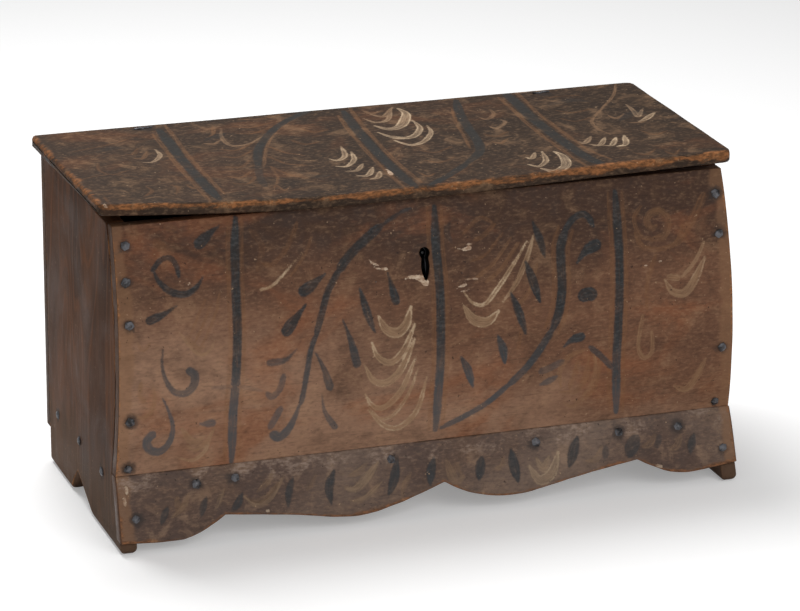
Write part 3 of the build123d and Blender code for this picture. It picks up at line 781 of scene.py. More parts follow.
# Materials
class Shader:
    """The node tree of a material or world, with short ways to add to it."""

    def __init__(self, owner):
        owner.use_nodes = True
        self.owner = owner
        self.tree = owner.node_tree
        self.tree.nodes.clear()
        self.place = self.node("TexCoord").outputs["Object"]

    def node(self, kind, inputs=None, **settings):
        """Adds a node; inputs gives a constant, or another node's socket, for each input that is set."""
        made = self.tree.nodes.new("ShaderNode" + kind)
        for key, value in settings.items():
            setattr(made, key, value)
        for key, value in (inputs or {}).items():
            if isinstance(value, bpy.types.NodeSocket):
                self.tree.links.new(value, made.inputs[key])
            else:
                made.inputs[key].default_value = value
        return made

    def stretch(self, scale, shift=(0, 0, 0)):
        return self.node("Mapping", {"Vector": self.place, "Scale": scale, "Location": shift}).outputs[0]

    def noise(self, vector, scale, detail=4.0, roughness=0.6, distortion=0.0):
        inputs = {"Vector": vector, "Scale": scale, "Detail": detail, "Roughness": roughness}
        return self.node("TexNoise", {**inputs, "Distortion": distortion}).outputs["Fac"]

    def math(self, operation, a, b):
        return self.node("Math", {0: a, 1: b}, operation=operation).outputs[0]

    def add(self, a, b):
        return self.math("ADD", a, b)

    def times(self, first, *others):
        for other in others:
            first = self.math("MULTIPLY", first, other)
        return first

    def spread(self, value, low, high, to_low=0.0, to_high=1.0):
        """A smooth step of value: to_low at low, to_high at high and beyond."""
        inputs = {"Value": value, "From Min": low, "From Max": high, "To Min": to_low, "To Max": to_high}
        return self.node("MapRange", inputs, interpolation_type="SMOOTHSTEP").outputs["Result"]

    def mix(self, amount, a, b):
        inputs = {"Factor": amount, "A": colour(a), "B": colour(b)}
        return self.node("Mix", inputs, data_type="RGBA").outputs["Result"]

    def tint(self, base, *layers):
        """The base under further colours; each rises to its share as its value goes from low to high."""
        for value, low, high, share, tone in layers:
            base = self.mix(self.spread(value, low, high, 0.0, share), base, tone)
        return base

    def attribute(self, name, output="Fac"):
        return self.node("Attribute", attribute_name=name).outputs[output]

    def parts(self, vector):
        return self.node("SeparateXYZ", {0: vector}).outputs

    def finish(self, base, roughness, height, bump, metallic=0.0, depth=0.001, specular=0.5):
        relief = self.node("Bump", {"Strength": bump, "Distance": depth, "Height": height})
        inputs = {"Base Color": base, "Roughness": roughness, "Metallic": metallic}
        inputs.update({"Specular IOR Level": specular, "Normal": relief.outputs[0]})
        self.close(self.node("BsdfPrincipled", inputs))
        return self.owner

    def close(self, shader):
        kind = "OutputWorld" if isinstance(self.owner, bpy.types.World) else "OutputMaterial"
        self.node(kind, {"Surface": shader.outputs[0]})


def colour(value):
    """A colour of the screen, 0 to 255, turned into the renderer's own; a socket stays."""
    if isinstance(value, bpy.types.NodeSocket):
        return value
    linear = [(v / 255 / 12.92) if v < 10.3 else ((v / 255 + 0.055) / 1.055) ** 2.4 for v in value]
    return (*linear, 1.0)


def grain(s, axis, shift=0.0):
    """Wood grain along an axis: fine fibres and wide bands, each from 0 to 1."""
    fine, wide = ([1.0 if i == axis else thin for i in range(3)] for thin in (26.0, 7.0))
    fibres = s.noise(s.stretch(fine, (shift, shift, shift)), 22, 6, 0.65)
    bands = s.noise(s.stretch(wide, (shift + 3, shift, shift)), 5, 3, 0.55, 0.6)
    return fibres, bands


def stroke_cover(s, layer, ragged_by, bristle, bite, soft, force=1.0):
    """Of a painted layer: its cover, the brush's streaks and the thick rim, each from 0 to 1."""
    distance, along, across = s.parts(s.attribute(layer, "Vector"))
    strength = s.math("MINIMUM", s.times(s.attribute(layer + "_strength"), force), 1.0)
    ragged = s.noise(s.place, 420, 4, 0.7)
    edge = s.add(distance, s.times(s.math("SUBTRACT", ragged, 0.5), ragged_by))
    inside = s.spread(edge, soft, -soft)
    brush = s.node("CombineXYZ", {0: s.times(along, 0.05), 1: s.times(across, bristle)}).outputs[0]
    streaks = s.spread(s.noise(brush, 1.0, 4, 0.7), bite - 0.09, bite + 0.09)
    rim = s.times(s.spread(edge, -2.2, -0.5), inside)
    return s.times(inside, strength), streaks, rim


def painted_wood(
    name,
    tones,
    warm,
    edge_tone=(168, 114, 72),
    layers=True,
    edge_reach=3.0,
    shine=0.55,
    rise_and_lid_shade=None,
    relief=0.35,
    specular=0.12,
    ink_tones=None,
    tan_tones=((122, 84, 54), (160, 132, 102)),
    strip=0.0,
    painted_sheen_above=None,
    patchy=1.0,
):
    """Old painted wood: mottled ground, grain, strokes, worn arrises, iron stains and pits."""
    dark, middle, light = tones
    s = Shader(bpy.data.materials.new(name))
    fibres, bands = grain(s, 0)
    cloud = s.noise(s.place, 5.0, 3, 0.55, 0.8)
    mottle = s.noise(s.place, 38, 5, 0.65, 0.5)
    blotch = s.noise(s.stretch((0.6, 1, 1)), 13, 5, 0.6, 0.8)
    weave = s.noise(s.stretch((0.45, 1, 1)), 420, 3, 0.6)
    x, _, z = s.parts(s.place)
    if rise_and_lid_shade:
        # Lighter low on the left; darker under the lid, as darker paint together with painted shade of the
        # lid's overhang
        low, high = rise_and_lid_shade
        level = s.add(z, s.spread(cloud, 0.3, 0.7, -0.03, 0.03))
        lower, upper = (s.add(level, s.times(x, tilt)) for tilt in (0.24, 0.05))
        ground = s.mix(s.spread(lower, low, low + 0.11), light, middle)
        ground = s.mix(s.spread(upper, high - 0.07, high), ground, dark)
    else:
        ground = s.mix(s.spread(cloud, 0.36, 0.66), dark, middle)
        ground = s.tint(ground, (mottle, 0.5, 0.72, 0.3 * patchy, light))
    shadow, highlight = (30, 20, 15), (190, 152, 118)
    base = s.tint(
        ground,
        (blotch, 0.5, 0.68, 0.65, warm),
        (blotch, 0.46, 0.3, 0.45, dark),
        (bands, 0.45, 0.7, 0.25, dark),
        (mottle, 0.5, 0.3, 0.26 * patchy, shadow),
        (mottle, 0.5, 0.7, 0.16 * patchy, highlight),
        (weave, 0.5, 0.3, 0.24, shadow),
        (weave, 0.5, 0.7, 0.13, highlight),
        (fibres, 0.54, 0.74, 0.35, tuple(c * 0.5 for c in dark)),
    )
    if strip:
        # A yellower strip where hands have rubbed the ends
        near_end = s.add(s.attribute("ends"), s.spread(blotch, 0.3, 0.7, -3.0, 4.0))
        base = s.tint(base, (near_end, 15.0, 10.0, strip, (132, 97, 70)))
    height = s.add(s.times(weave, 0.3), s.times(mottle, 0.5))
    if layers:
        tan, streaks, rim = stroke_cover(s, "tan", 2.6, 0.55, 0.5, 0.8, 1.5)
        strength = s.attribute("tan_strength")
        body = s.add(0.26, s.times(streaks, 0.36))
        cover = s.times(tan, s.math("MAXIMUM", body, s.times(rim, s.spread(strength, 0.4, 0.95), 0.75)))
        base = s.mix(cover, base, s.mix(s.spread(strength, 0.3, 1.1), *tan_tones))
        ridge = s.times(rim, s.spread(mottle, 0.45, 0.6), s.spread(strength, 0.6, 1.1))
        base = s.mix(s.times(ridge, 0.7), base, (202, 178, 148))
        height = s.add(height, s.times(cover, 0.5))
        ink, streaks, _ = stroke_cover(s, "ink", 2.4, 0.4, 0.45, 1.0, 1.2)
        thin = s.spread(mottle, 0.35, 0.65, 1.0, 0.8)
        cover = s.times(ink, thin, s.spread(streaks, 0.0, 1.0, 0.8, 1.0))
        # The ink follows the same rise: paler low down, and darker under the lid, partly painted shade
        tone = s.mix(s.spread(level, 0.08, 0.2), ink_tones[1], ink_tones[0]) if rise_and_lid_shade else ink_tones[0]
        tone = s.tint(tone, (weave, 0.42, 0.7, 0.5, ink_tones[1]))
        base = s.mix(cover, base, tone)
        height = s.add(height, s.times(ink, 0.3))
    if painted_sheen_above:
        # Painted highlight: a paler tone above the skirt's knee, where the varnish would catch the light
        lit = s.times(s.spread(z, painted_sheen_above - 0.006, painted_sheen_above + 0.004), s.spread(mottle, 0.46, 0.62))
        lit = s.times(lit, s.spread(weave, 0.42, 0.62, 0.1, 1.0))
        base = s.mix(s.times(lit, 0.5), base, (156, 138, 126))
    # Grey iron stains round the nails
    stain = s.add(s.attribute("iron"), s.spread(mottle, 0.3, 0.7, -3.0, 3.0))
    base = s.tint(base, (stain, 5.0, -1.0, 0.75, (46, 40, 38)))
    # Worn arrises, where the paint has rubbed through
    ragged = s.noise(s.stretch((0.4, 1, 1)), 60, 6, 0.75)
    rub = s.add(s.attribute("edge"), s.spread(ragged, 0.25, 0.75, edge_reach * 0.9, -edge_reach * 0.5))
    bare = s.mix(s.spread(weave, 0.35, 0.65), edge_tone, tuple(c * 0.62 for c in edge_tone))
    bare = s.tint(bare, (mottle, 0.55, 0.75, 0.6, (206, 168, 128)))
    base = s.mix(s.times(s.spread(rub, edge_reach, edge_reach * 0.3), 0.85), base, bare)
    if layers:
        # Chips down to pale wood
        chip, _, _ = stroke_cover(s, "chips", 3.0, 1.0, 0.4, 0.35)
        pale = s.mix(s.spread(weave, 0.3, 0.7), (206, 184, 160), (150, 118, 94))
        base = s.mix(s.times(chip, 0.95), base, pale)
        height = s.math("SUBTRACT", height, s.times(chip, 0.9))
    # Light flecks and dark pits
    flecks = s.noise(s.place, 300, 2, 0.5)
    base = s.tint(base, (flecks, 0.71, 0.78, 0.6, (176, 146, 116)), (flecks, 0.3, 0.24, 0.7, (34, 24, 19)))
    if strip:
        # Sawn ends, stained like the end boards
        sawn = s.mix(s.spread(weave, 0.3, 0.7), (78, 56, 44), (98, 70, 52))
        base = s.tint(base, (s.attribute("ends"), 1.0, 0.5, 1.0, sawn))
    # Painted shade: the keyhole's walls inside the board are near black
    base = s.tint(base, (s.attribute("keyhole_shade"), 0.0, 0.2, 1.0, (9, 7, 6)))
    rough = s.spread(mottle, 0.3, 0.7, shine - 0.12, shine + 0.16)
    return s.finish(base, rough, height, relief, depth=0.0012, specular=specular)


def plain_wood(name):
    """Dry bare wood, dusty and browned by age."""
    dark, middle, light = (74, 54, 40), (112, 84, 60), (146, 114, 84)
    s = Shader(bpy.data.materials.new(name))
    fibres, bands = grain(s, 0, 5.0)
    cloud = s.noise(s.place, 6, 5, 0.6, 0.5)
    base = s.mix(s.spread(bands, 0.35, 0.65), light, middle)
    base = s.tint(base, (cloud, 0.4, 0.7, 0.7, dark), (fibres, 0.5, 0.72, 0.7, dark))
    height = s.add(s.times(fibres, 0.7), s.times(bands, 0.3))
    rough = s.spread(cloud, 0.3, 0.7, 0.62, 0.85)
    return s.finish(base, rough, height, 0.4, depth=0.001, specular=0.3)


def iron(name, rust=0.35, light=1.0):
    """Forged iron, nearly black, with rust in its hollows and a painted highlight, a dull paler grey, on its
    high places.
    """
    s = Shader(bpy.data.materials.new(name))
    grit = s.noise(s.place, 700, 5, 0.7)
    cloud = s.noise(s.place, 130, 4, 0.6, 0.5)
    tones = [tuple(c * light for c in tone) for tone in ((26, 25, 26), (104, 104, 108))]
    # The paler grey is a painted highlight on the high places
    base = s.mix(s.spread(cloud, 0.35, 0.65), *tones)
    base = s.tint(base, (grit, 0.5, 0.75, rust, (104, 62, 40)))
    rough = s.spread(cloud, 0.3, 0.7, 0.3, 0.6)
    height = s.add(s.times(grit, 0.6), s.times(cloud, 0.6))
    return s.finish(base, rough, height, 0.7, metallic=0.5, depth=0.0006, specular=0.5)


def dress(piece, material):
    piece.data.materials.clear()
    piece.data.materials.append(material)


# The boards
def across_case(t, y, z):
    return (end_x(-1, z) * (1 - t) + end_x(1, z) * t, y, z)


def bow_points(depth, spacing, downward):
    zs = steps(FRONT_TOP, FRONT_LOW, spacing) if downward else steps(FRONT_LOW, FRONT_TOP, spacing)
    return [(bow_face(z, depth), z) for z in zs]


def lock_point(x, v, depth):
    """A point in the lock's tilted plane; depth counts into the case."""
    return (
        LOCK_SEAT.x + x,
        LOCK_SEAT.y + depth * math.cos(LOCK_TILT) + v * math.sin(LOCK_TILT),
        LOCK_SEAT.z - depth * math.sin(LOCK_TILT) + v * math.cos(LOCK_TILT),
    )


def keyhole_outline():
    """The keyhole: a round head, a waist, a belly and a blunt point, from the point up and round."""
    side = [(0.0, -0.0262), (0.0016, -0.0245), (0.0036, -0.0185)]
    side += [(0.0044, -0.0125), (0.0041, -0.0085), (0.0035, -0.0055)]
    side += [(KEY_HEAD * math.sin(a), -KEY_HEAD * math.cos(a)) for a in np.linspace(0.9, math.pi, 10)]
    return side + [(-x * 0.95, v) for x, v in side[-2:0:-1]]


def in_keyhole(point):
    """1 for places on the keyhole's wall below the board's face, which get painted shade, 0 elsewhere."""
    x, y, z = point
    return float(y - bow_face(z) > 0.001 and abs(x - LOCK_SEAT.x) < 0.008 and abs(z - 0.24) < 0.026)


def nail_centres():
    """Places of the nails on the front and skirt, in space."""
    out = []
    for places in FRONT_NAILS.values():
        out += [(CASE_X + x, bow_face(z), z) for x, z in places]
    for places in SKIRT_NAILS.values():
        out += [(CASE_X + x, skirt_face(z), z) for x, z in places]
    return out


def behind_front(p):
    return p.y - bow_face(min(max(p.z, 0.03), 0.33))


def behind_skirt(p):
    return p.y - skirt_face(min(max(p.z, 0.0), 0.09))


def under_lid(p):
    return lid_top(p.x, min(max(p.y, LID_FRONT), LID_BACK)) - p.z


def flat_front(points):
    """Places on the front or skirt: along, and up, in mm."""
    return points[:, [0, 2]] / MM


def flat_lid(points):
    """Places on the lid's upper face, unrolled over its round arrises, in mm; other faces lie far off."""
    top = np.array([lid_top(x, y) for x, y, _ in points])
    drop = top - points[:, 2]
    y = points[:, 1] - np.where(drop > 0.0015, drop, 0.0)
    y = np.where(drop > 0.0045, -1.0, y)
    return np.stack([points[:, 0], y], axis=1) / MM


def make_front():
    loop = bow_points(0, GRID, True) + [(bow_face(FRONT_LOW), FRONT_LOW)]
    loop += bow_points(BOARD, 0.02, False) + [(bow_face(FRONT_TOP, BOARD), FRONT_TOP)]
    outline = rounded(loop, 0.0012)

    board = make_board("front_board_painted", lambda t: outline, across_case, END_ROUND, CASE_LENGTH, GRID)
    hollow(board, 0.0006, (0.11, 0.11, 0.035), 1)
    (x0, x1), (v0, v1) = LOCK_PLATE
    recess = [(x0, v0), (x1, v0), (x1, v1 + 0.02), (x0, v1 + 0.02)]
    cut(board, prism("recess", recess, lock_point, 0.0, 0.04))
    cut(board, prism("keyhole", keyhole_outline(), lock_point, -0.03, 0.02))
    outer = [[(end_x(s, z), bow_face(z), z) for z in steps(FRONT_LOW, FRONT_TOP, 0.01)] for s in (-1, 1)]
    wear_from(board, [(line, 1.0) for line in outer])
    mark_ends(board)
    flanks = [beside(FRONT_INK, n, offset, 0.36, 4.5) for n, offset in FLANKS]
    store(board, "keyhole_shade", [in_keyhole(p) for p in positions(board)])
    paint_layers(board, (FRONT_INK, FRONT_TAN + flanks, FRONT_CHIPS), behind_front, flat_front)
    paint_spots(board, "iron", [(c, STAIN) for c in nail_centres()])
    tones = ((70, 49, 38), (108, 75, 56), (146, 112, 90))
    looks = painted_wood(
        "painted_front",
        tones,
        warm=(132, 83, 56),
        rise_and_lid_shade=(0.08, 0.262),
        edge_reach=3.2,
        strip=0.5,
        ink_tones=((42, 42, 42), (76, 76, 77)),
    )
    dress(board, looks)
    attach(board, "case")
    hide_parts("front_board")


def skirt_low(x):
    """Height of the skirt's sawn lower edge at x, found on the model's own skirt."""
    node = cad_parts["skirt_board"]
    hit, where, _, _ = node.ray_cast(Vector((x, SKIRT_MIDDLE_Y, -0.01)), Vector((0, 0, 1)))
    return where.z if hit else 0.0125


def make_skirt():
    rows = 34
    xs = np.linspace(end_x(-1, 0.03), end_x(1, 0.03), 401)
    lows = [skirt_low(min(max(x, xs[0] + 0.003), xs[-1] - 0.003)) for x in xs]

    def section(t):
        x = xs[0] + (xs[-1] - xs[0]) * t
        low = max(float(np.interp(x, xs, lows)), SKIRT_LOWEST)
        front = [(skirt_face(z), z) for z in np.linspace(FRONT_LOW, low, rows)]
        back = [(skirt_back(z), z) for z in np.linspace(low, FRONT_LOW, 6)]
        return rounded(front + back, 0.0013)

    board = make_board("skirt_board_painted", section, across_case, END_ROUND, CASE_LENGTH, GRID)
    hollow(board, 0.0009, (0.016, 0.05, 0.03), 2)
    lower = [(x, skirt_face(z), z) for x, z in zip(xs, lows)]
    sides = [[(end_x(s, z), skirt_face(z), z) for z in (0.02, 0.04, 0.058, 0.069)] for s in (-1, 1)]
    wear_from(board, [(lower, 1.0)] + [(line, 1.4) for line in sides])
    mark_ends(board)
    paint_layers(board, (SKIRT_INK, SKIRT_TAN, SKIRT_CHIPS), behind_skirt, flat_front)
    paint_spots(board, "iron", [(c, STAIN) for c in nail_centres()])
    tones = ((88, 69, 60), (118, 98, 85), (148, 126, 110))
    looks = painted_wood(
        "painted_skirt",
        tones,
        warm=(106, 82, 66),
        edge_reach=3.4,
        edge_tone=(146, 98, 64),
        shine=0.45,
        relief=0.7,
        specular=0.12,
        strip=0.6,
        painted_sheen_above=0.056,
        ink_tones=((52, 52, 53), (68, 68, 69)),
        tan_tones=((132, 104, 78), (168, 146, 120)),
    )
    dress(board, looks)
    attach(board, "case")
    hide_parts("skirt_board")


def lid_outline():
    """The lid's section, as (distance behind the front edge, height over the underside)."""
    deep = LID_BACK - LID_FRONT
    top = [(d, LID_THICKNESS) for d in steps(deep - 0.002, 0.005, GRID)]
    upper, lower = 0.005, 0.003
    nose = []
    for angle in np.linspace(0, math.pi / 2, 7):
        nose.append((upper * (1 - math.sin(angle)), LID_THICKNESS - upper * (1 - math.cos(angle))))
    for angle in np.linspace(0, math.pi / 2, 5):
        nose.append((lower * (1 - math.cos(angle)), lower * (1 - math.sin(angle))))
    under = [(d, 0.0) for d in steps(0.012, deep - 0.002, 0.02)] + [(deep - 0.002, 0.0)]
    back = [(deep, 0.002), (deep, 0.006), (deep, LID_THICKNESS - 0.002)]
    return top + nose + under + back


def make_lid():
    length = 2 * LID_HALF
    outline = lid_outline()

    def place(t, d, h):
        """The outline's corners are rounded as seen from above."""
        x = -LID_HALF + length * t
        corner = 0.006 if x < 0 else 0.012
        low = warp(x)
        deep = LID_BACK - LID_FRONT
        inner = max(corner - (LID_HALF - abs(x)), 0.0)
        pinch = corner - math.sqrt(max(corner**2 - inner**2, 0.0))
        d = pinch + d * (deep - 2 * pinch) / deep
        return (x, LID_FRONT + d, low + (LID_BACK_LOW - low) * d / deep + h)

    board = make_board("lid_board_painted", lambda t: outline, place, 0.0048, length, GRID)
    hollow(board, 0.0007, (0.09, 0.05, 0.09), 3)
    xs, y = np.linspace(-LID_HALF, LID_HALF, 61), LID_FRONT + 0.001
    nose = [(x, y, lid_top(x, y) - 0.003) for x in xs]
    ends = [[(x, y, lid_top(x, y)) for y in (LID_FRONT, 0.0, LID_BACK)] for x in (-LID_HALF, LID_HALF)]
    rear = [(x, LID_BACK, lid_top(x, LID_BACK)) for x in (-LID_HALF, LID_HALF)]
    wear_from(board, [(nose[:25], 1.3), (nose[24:], 1.9), (rear, 0.7), (ends[0], 2.2), (ends[1], 0.8)])
    beside_stripes = ((0, -7.5), (0, 7.5), (1, -7), (1, 7), (2, -7.5), (2, 7.5))
    flanks = [beside(LID_INK, n, offset, 0.45, 4.5) for n, offset in beside_stripes]
    paint_layers(board, (LID_INK, LID_TAN + flanks, LID_CHIPS), under_lid, flat_lid)
    pins = [((x, PIVOT[0], LID_BACK_LOW + LID_THICKNESS), 6.0) for x in HINGE_X]
    paint_spots(board, "iron", pins)
    tones = ((51, 40, 32), (61, 46, 36), (80, 59, 44))
    looks = painted_wood(
        "painted_lid",
        tones,
        warm=(88, 57, 38),
        edge_reach=3.4,
        edge_tone=(158, 104, 64),
        shine=0.6,
        specular=0.08,
        ink_tones=((46, 44, 42), (58, 56, 54)),
        tan_tones=((118, 80, 50), (166, 142, 116)),
    )
    dress(board, looks)
    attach(board, "lid")
    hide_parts("lid_board")


def end_front(z, side):
    """Front edge of an end board: behind the front and skirt, and before the skirt at the toe."""
    step = 0.0125 if side < 0 else 0.0195
    if z > FRONT_LOW:
        return bow_face(min(z, FRONT_TOP), BOARD)
    if z > step:
        return skirt_back(z)
    toe = FRONT_Y - SKIRT_KNEE[0] - (SKIRT_KNEE[1] - z) * SKIRT_SLOPE + FOOT_SETBACK
    return toe + end_round(z, 0.009)


def end_round(z, radius=0.005):
    return radius - math.sqrt(radius**2 - (radius - z) ** 2) if z < radius else 0.0


def make_end(side, name):
    back, brow = REAR_Y - BOARD, bow_face(FRONT_TOP, BOARD)
    slope = (BACK_TOP - FRONT_TOP) / (back - brow)
    lean = math.atan2(END_LEAN, FRONT_TOP)
    # Rows lie close together where the front edge steps
    levels = [0.0, 0.0006, 0.0014, 0.0026, 0.004, 0.0124, 0.0126, 0.0194, 0.0196]
    levels += steps(0.005, 0.012, 0.0018) + steps(0.0205, FRONT_LOW, 0.0022)
    levels += [FRONT_LOW - 0.0001, FRONT_LOW + 0.0001, FRONT_TOP]
    levels = sorted(levels + steps(FRONT_LOW + 0.002, FRONT_TOP, 0.0022))

    def place(u, depth, z):
        front = end_front(z, side)
        rear = back - end_round(z)
        y = front + (rear - front) * u
        sole = end_round(z, 0.006)
        depth = sole + depth * (1 - 2 * sole / END_THICKNESS)
        raised = max(z - PLAIN_TO, 0.0) / (FRONT_TOP - PLAIN_TO)
        height = z + raised * (y - brow) * slope
        return (end_x(side, height) - side * depth / math.cos(lean), y, height)

    rim = 0.0011  # small rounds along the front and rear edges
    us = [0.0] + list(np.linspace(0.005, 0.995, 110)) + [1.0]
    section = [(0.0, rim)] + [(u, 0.0) for u in us[1:-1]] + [(1.0, rim), (1.0, END_THICKNESS - rim)]
    section += [(u, END_THICKNESS) for u in reversed(us[1:-1])] + [(0.0, END_THICKNESS - rim)]
    per = len(section)
    vertices = [place(u, d, z) for z in levels for u, d in section]
    faces = ring_faces(len(levels), per)
    half = len(us)
    for row in (0, (len(levels) - 1) * per):
        for j in range(half - 1):
            other = per - 1 - j
            faces.append((row + j, row + j + 1, row + other - 1, row + other))
    board = new_piece(name, vertices, faces)
    hollow(board, 0.0006, (0.05, 0.06, 0.14), 4 + side)
    arch = arch_outline()
    cut(board, prism("arch", arch, lambda y, z, d: (end_x(side, 0.0) + side * d, y, z), -0.05, 0.02))
    arch_line = [(end_x(side, z), y, z) for y, z in arch if z >= 0]
    arris = [(end_x(side, z), end_front(z, side), z) for z in steps(0.001, FRONT_TOP, 0.01)]
    rear = [(end_x(side, z), back, z) for z in (0.0, BACK_TOP)]
    wear_from(board, [(arch_line, 0.6), (arris, 0.8), (rear, 1.0)])
    paint_spots(board, "iron", [((end_x(side, z), FRONT_Y + y, z), STAIN) for y, z in END_NAILS])
    twist(board)
    dress(board, end_wood("end_wood_left" if side < 0 else "end_wood_right"))
    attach(board, "case")
    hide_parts("left_end_board" if side < 0 else "right_end_board")


def arch_outline():
    """The pointed arch between an end's two feet, closed below the floor."""
    front = (FRONT_Y + 0.072, 0.0)
    apex = (FRONT_Y + 0.136, 0.028)
    rear = (FRONT_Y + 0.163, 0.0)
    outline = [(front[0], -0.01)]
    rising, falling = (apex[0] - 0.033, 0.013), (apex[0] + 0.017, 0.0125)
    for start, middle, end in ((front, rising, apex), (apex, falling, rear)):
        x, y, r = circle_through([start, middle, end])
        a0 = math.atan2(start[1] - y, start[0] - x)
        a1 = math.atan2(end[1] - y, end[0] - x)
        turn = (a1 - a0 + math.pi) % (2 * math.pi) - math.pi
        for i in range(12):
            angle = a0 + turn * i / 12
            outline.append((x + r * math.cos(angle), y + r * math.sin(angle)))
    outline += [rear, (rear[0], -0.01)]
    return outline


def end_wood(name):
    """Brown-stained end board: upright cathedral grain, orange where it is rubbed, grey towards the feet."""
    s = Shader(bpy.data.materials.new(name))
    _, y, z = s.parts(s.place)
    warped = s.noise(s.stretch((1, 3.2, 0.9), (0.4, 0.2, 0.1)), 3.2, 2, 0.5, 0.4)
    across = s.times(s.add(s.times(warped, 6.0), s.times(y, 9.0)), 14.0)
    rings = s.math("SINE", across, 0.0)
    rings = s.spread(rings, 0.2, 1.0)
    fibres, bands = grain(s, 2, 2.0)
    mottle = s.noise(s.place, 15, 5, 0.62, 0.4)
    cloud = s.noise(s.stretch((1, 1.6, 0.6)), 6, 4, 0.55, 0.6)
    base = s.mix(s.spread(cloud, 0.35, 0.66), (66, 43, 29), (96, 63, 42))
    base = s.mix(s.times(rings, s.spread(mottle, 0.35, 0.65, 0.1, 0.5)), base, (116, 74, 46))
    grey = s.add(s.times(z, -1.0), s.spread(mottle, 0.3, 0.7, -0.02, 0.03))
    stain = s.add(s.attribute("iron"), s.spread(s.noise(s.place, 160, 3), 0.3, 0.7, -3.0, 3.0))
    ragged = s.noise(s.place, 60, 5, 0.7)
    rub = s.add(s.attribute("edge"), s.spread(ragged, 0.25, 0.75, 2.6, -1.6))
    flecks = s.noise(s.place, 380, 2, 0.5)
    base = s.tint(
        base,
        (bands, 0.5, 0.75, 0.4, (52, 37, 29)),
        (fibres, 0.54, 0.74, 0.5, (45, 32, 26)),
        (fibres, 0.38, 0.22, 0.4, (142, 98, 66)),
        (grey, -0.1, -0.015, 0.6, (98, 80, 66)),
        (stain, 5.0, 0.0, 0.6, (52, 45, 42)),
        (rub, 2.8, 0.8, 0.7, (156, 108, 70)),
        (flecks, 0.68, 0.78, 0.5, (170, 134, 100)),
        (flecks, 0.3, 0.22, 0.6, (34, 25, 20)),
    )
    height = s.add(s.times(fibres, 0.5), s.times(rings, 0.25))
    rough = s.spread(mottle, 0.3, 0.7, 0.5, 0.7)
    return s.finish(base, rough, height, 0.4, depth=0.0012, specular=0.05)


def make_back():
    loop = [(REAR_Y - BOARD, z) for z in steps(BACK_TOP, BACK_LOW, 0.03)]
    loop += [(REAR_Y - BOARD, BACK_LOW), (REAR_Y - 0.004, BACK_LOW)]
    loop += [(REAR_Y, z) for z in steps(BACK_LOW, BACK_TOP, 0.006)] + [(REAR_Y, BACK_TOP)]
    outline = rounded(loop, 0.0012)

    board = make_board("back_board_worn", lambda t: outline, across_case, END_ROUND, CASE_LENGTH, 0.006)
    hollow(board, 0.0007, (0.12, 0.1, 0.04), 6)
    for x in HINGE_X:
        shape = [(PIVOT[0] + y, PIVOT[1] + z) for y, z in NOTCH]
        cut(board, prism("notch", shape, lambda y, z, d: (x + d, y, z), -NOTCH_WIDTH / 2, NOTCH_WIDTH / 2))
    nails = [((CASE_X + s * BACK_NAIL_X, REAR_Y, z), STAIN) for s in (-1, 1) for z in BACK_NAIL_Z]
    nails += [((CASE_X + x, REAR_Y, BACK_ROW_Z), STAIN) for x in BACK_ROW_X]
    paint_spots(board, "iron", nails)
    rims = [[(end_x(-1, z), REAR_Y, z), (end_x(1, z), REAR_Y, z)] for z in (BACK_LOW, BACK_TOP)]
    sides = [[(end_x(s, z), REAR_Y, z) for z in (BACK_LOW, BACK_TOP)] for s in (-1, 1)]
    wear_from(board, [(line, 1.0) for line in rims + sides])
    tones = ((62, 46, 36), (78, 57, 44), (88, 65, 50))
    twist(board)
    looks = painted_wood(
        "old_back",
        tones,
        warm=(90, 63, 46),
        layers=False,
        shine=0.6,
        edge_tone=(150, 108, 72),
        patchy=0.6,
    )
    dress(board, looks)
    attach(board, "case")
    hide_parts("back_board")


# Nails
def nail_head(vertices, faces, point, outward, rng):
    """One hammered head: an uneven rim, a ring of facets and a low crown."""
    point = Vector(point)
    normal = Vector(outward).normalized()
    side = normal.cross(Vector((0.3, 0.2, 1.0))).normalized()
    other = normal.cross(side)
    sides = rng.choice((4, 5, 5, 6))
    turn = rng.uniform(0, math.pi)
    lift = Vector((rng.uniform(-0.1, 0.1), rng.uniform(-0.1, 0.1)))
    start = len(vertices)
    levels = [(1.0, -0.0004), (1.02, 0.0004), (0.86, 0.0009), (0.34, 0.0017)]
    bend = [rng.uniform(0.82, 1.06) for _ in range(sides)]
    ring = sides * 2
    for scale, height in levels:
        for i in range(ring):
            angle = turn + math.pi * i / sides
            corner = bend[i // 2]
            if i % 2:
                corner = (corner + bend[(i // 2 + 1) % sides]) / 2 * 0.87
            radius = NAIL_HEAD * scale * corner
            a, b = radius * math.cos(angle), radius * math.sin(angle)
            up = min(height + (a * lift.x + b * lift.y) * 0.6, NAIL_RISE)
            vertices.append(point + side * a + other * b + normal * up)
    top, bottom = len(vertices), len(vertices) + 1
    vertices += [point + normal * NAIL_RISE, point - normal * 0.001]
    last = start + (len(levels) - 1) * ring
    faces += ring_faces(len(levels), ring, start)
    for i in range(ring):
        k = (i + 1) % ring
        faces.append((last + i, last + k, top))
        faces.append((start + k, start + i, bottom))


def make_nails(name, places, material, seed):
    rng = random.Random(seed)
    vertices, faces = [], []
    for point, outward in places:
        nail_head(vertices, faces, point, outward, rng)
    group = new_piece(name + "_forged", [tuple(v) for v in vertices], faces)
    if name.startswith(("end", "back")):
        twist(group)
    for face in group.data.polygons:
        face.use_smooth = False
    dress(group, material)
    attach(group, "case")
    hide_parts(name)


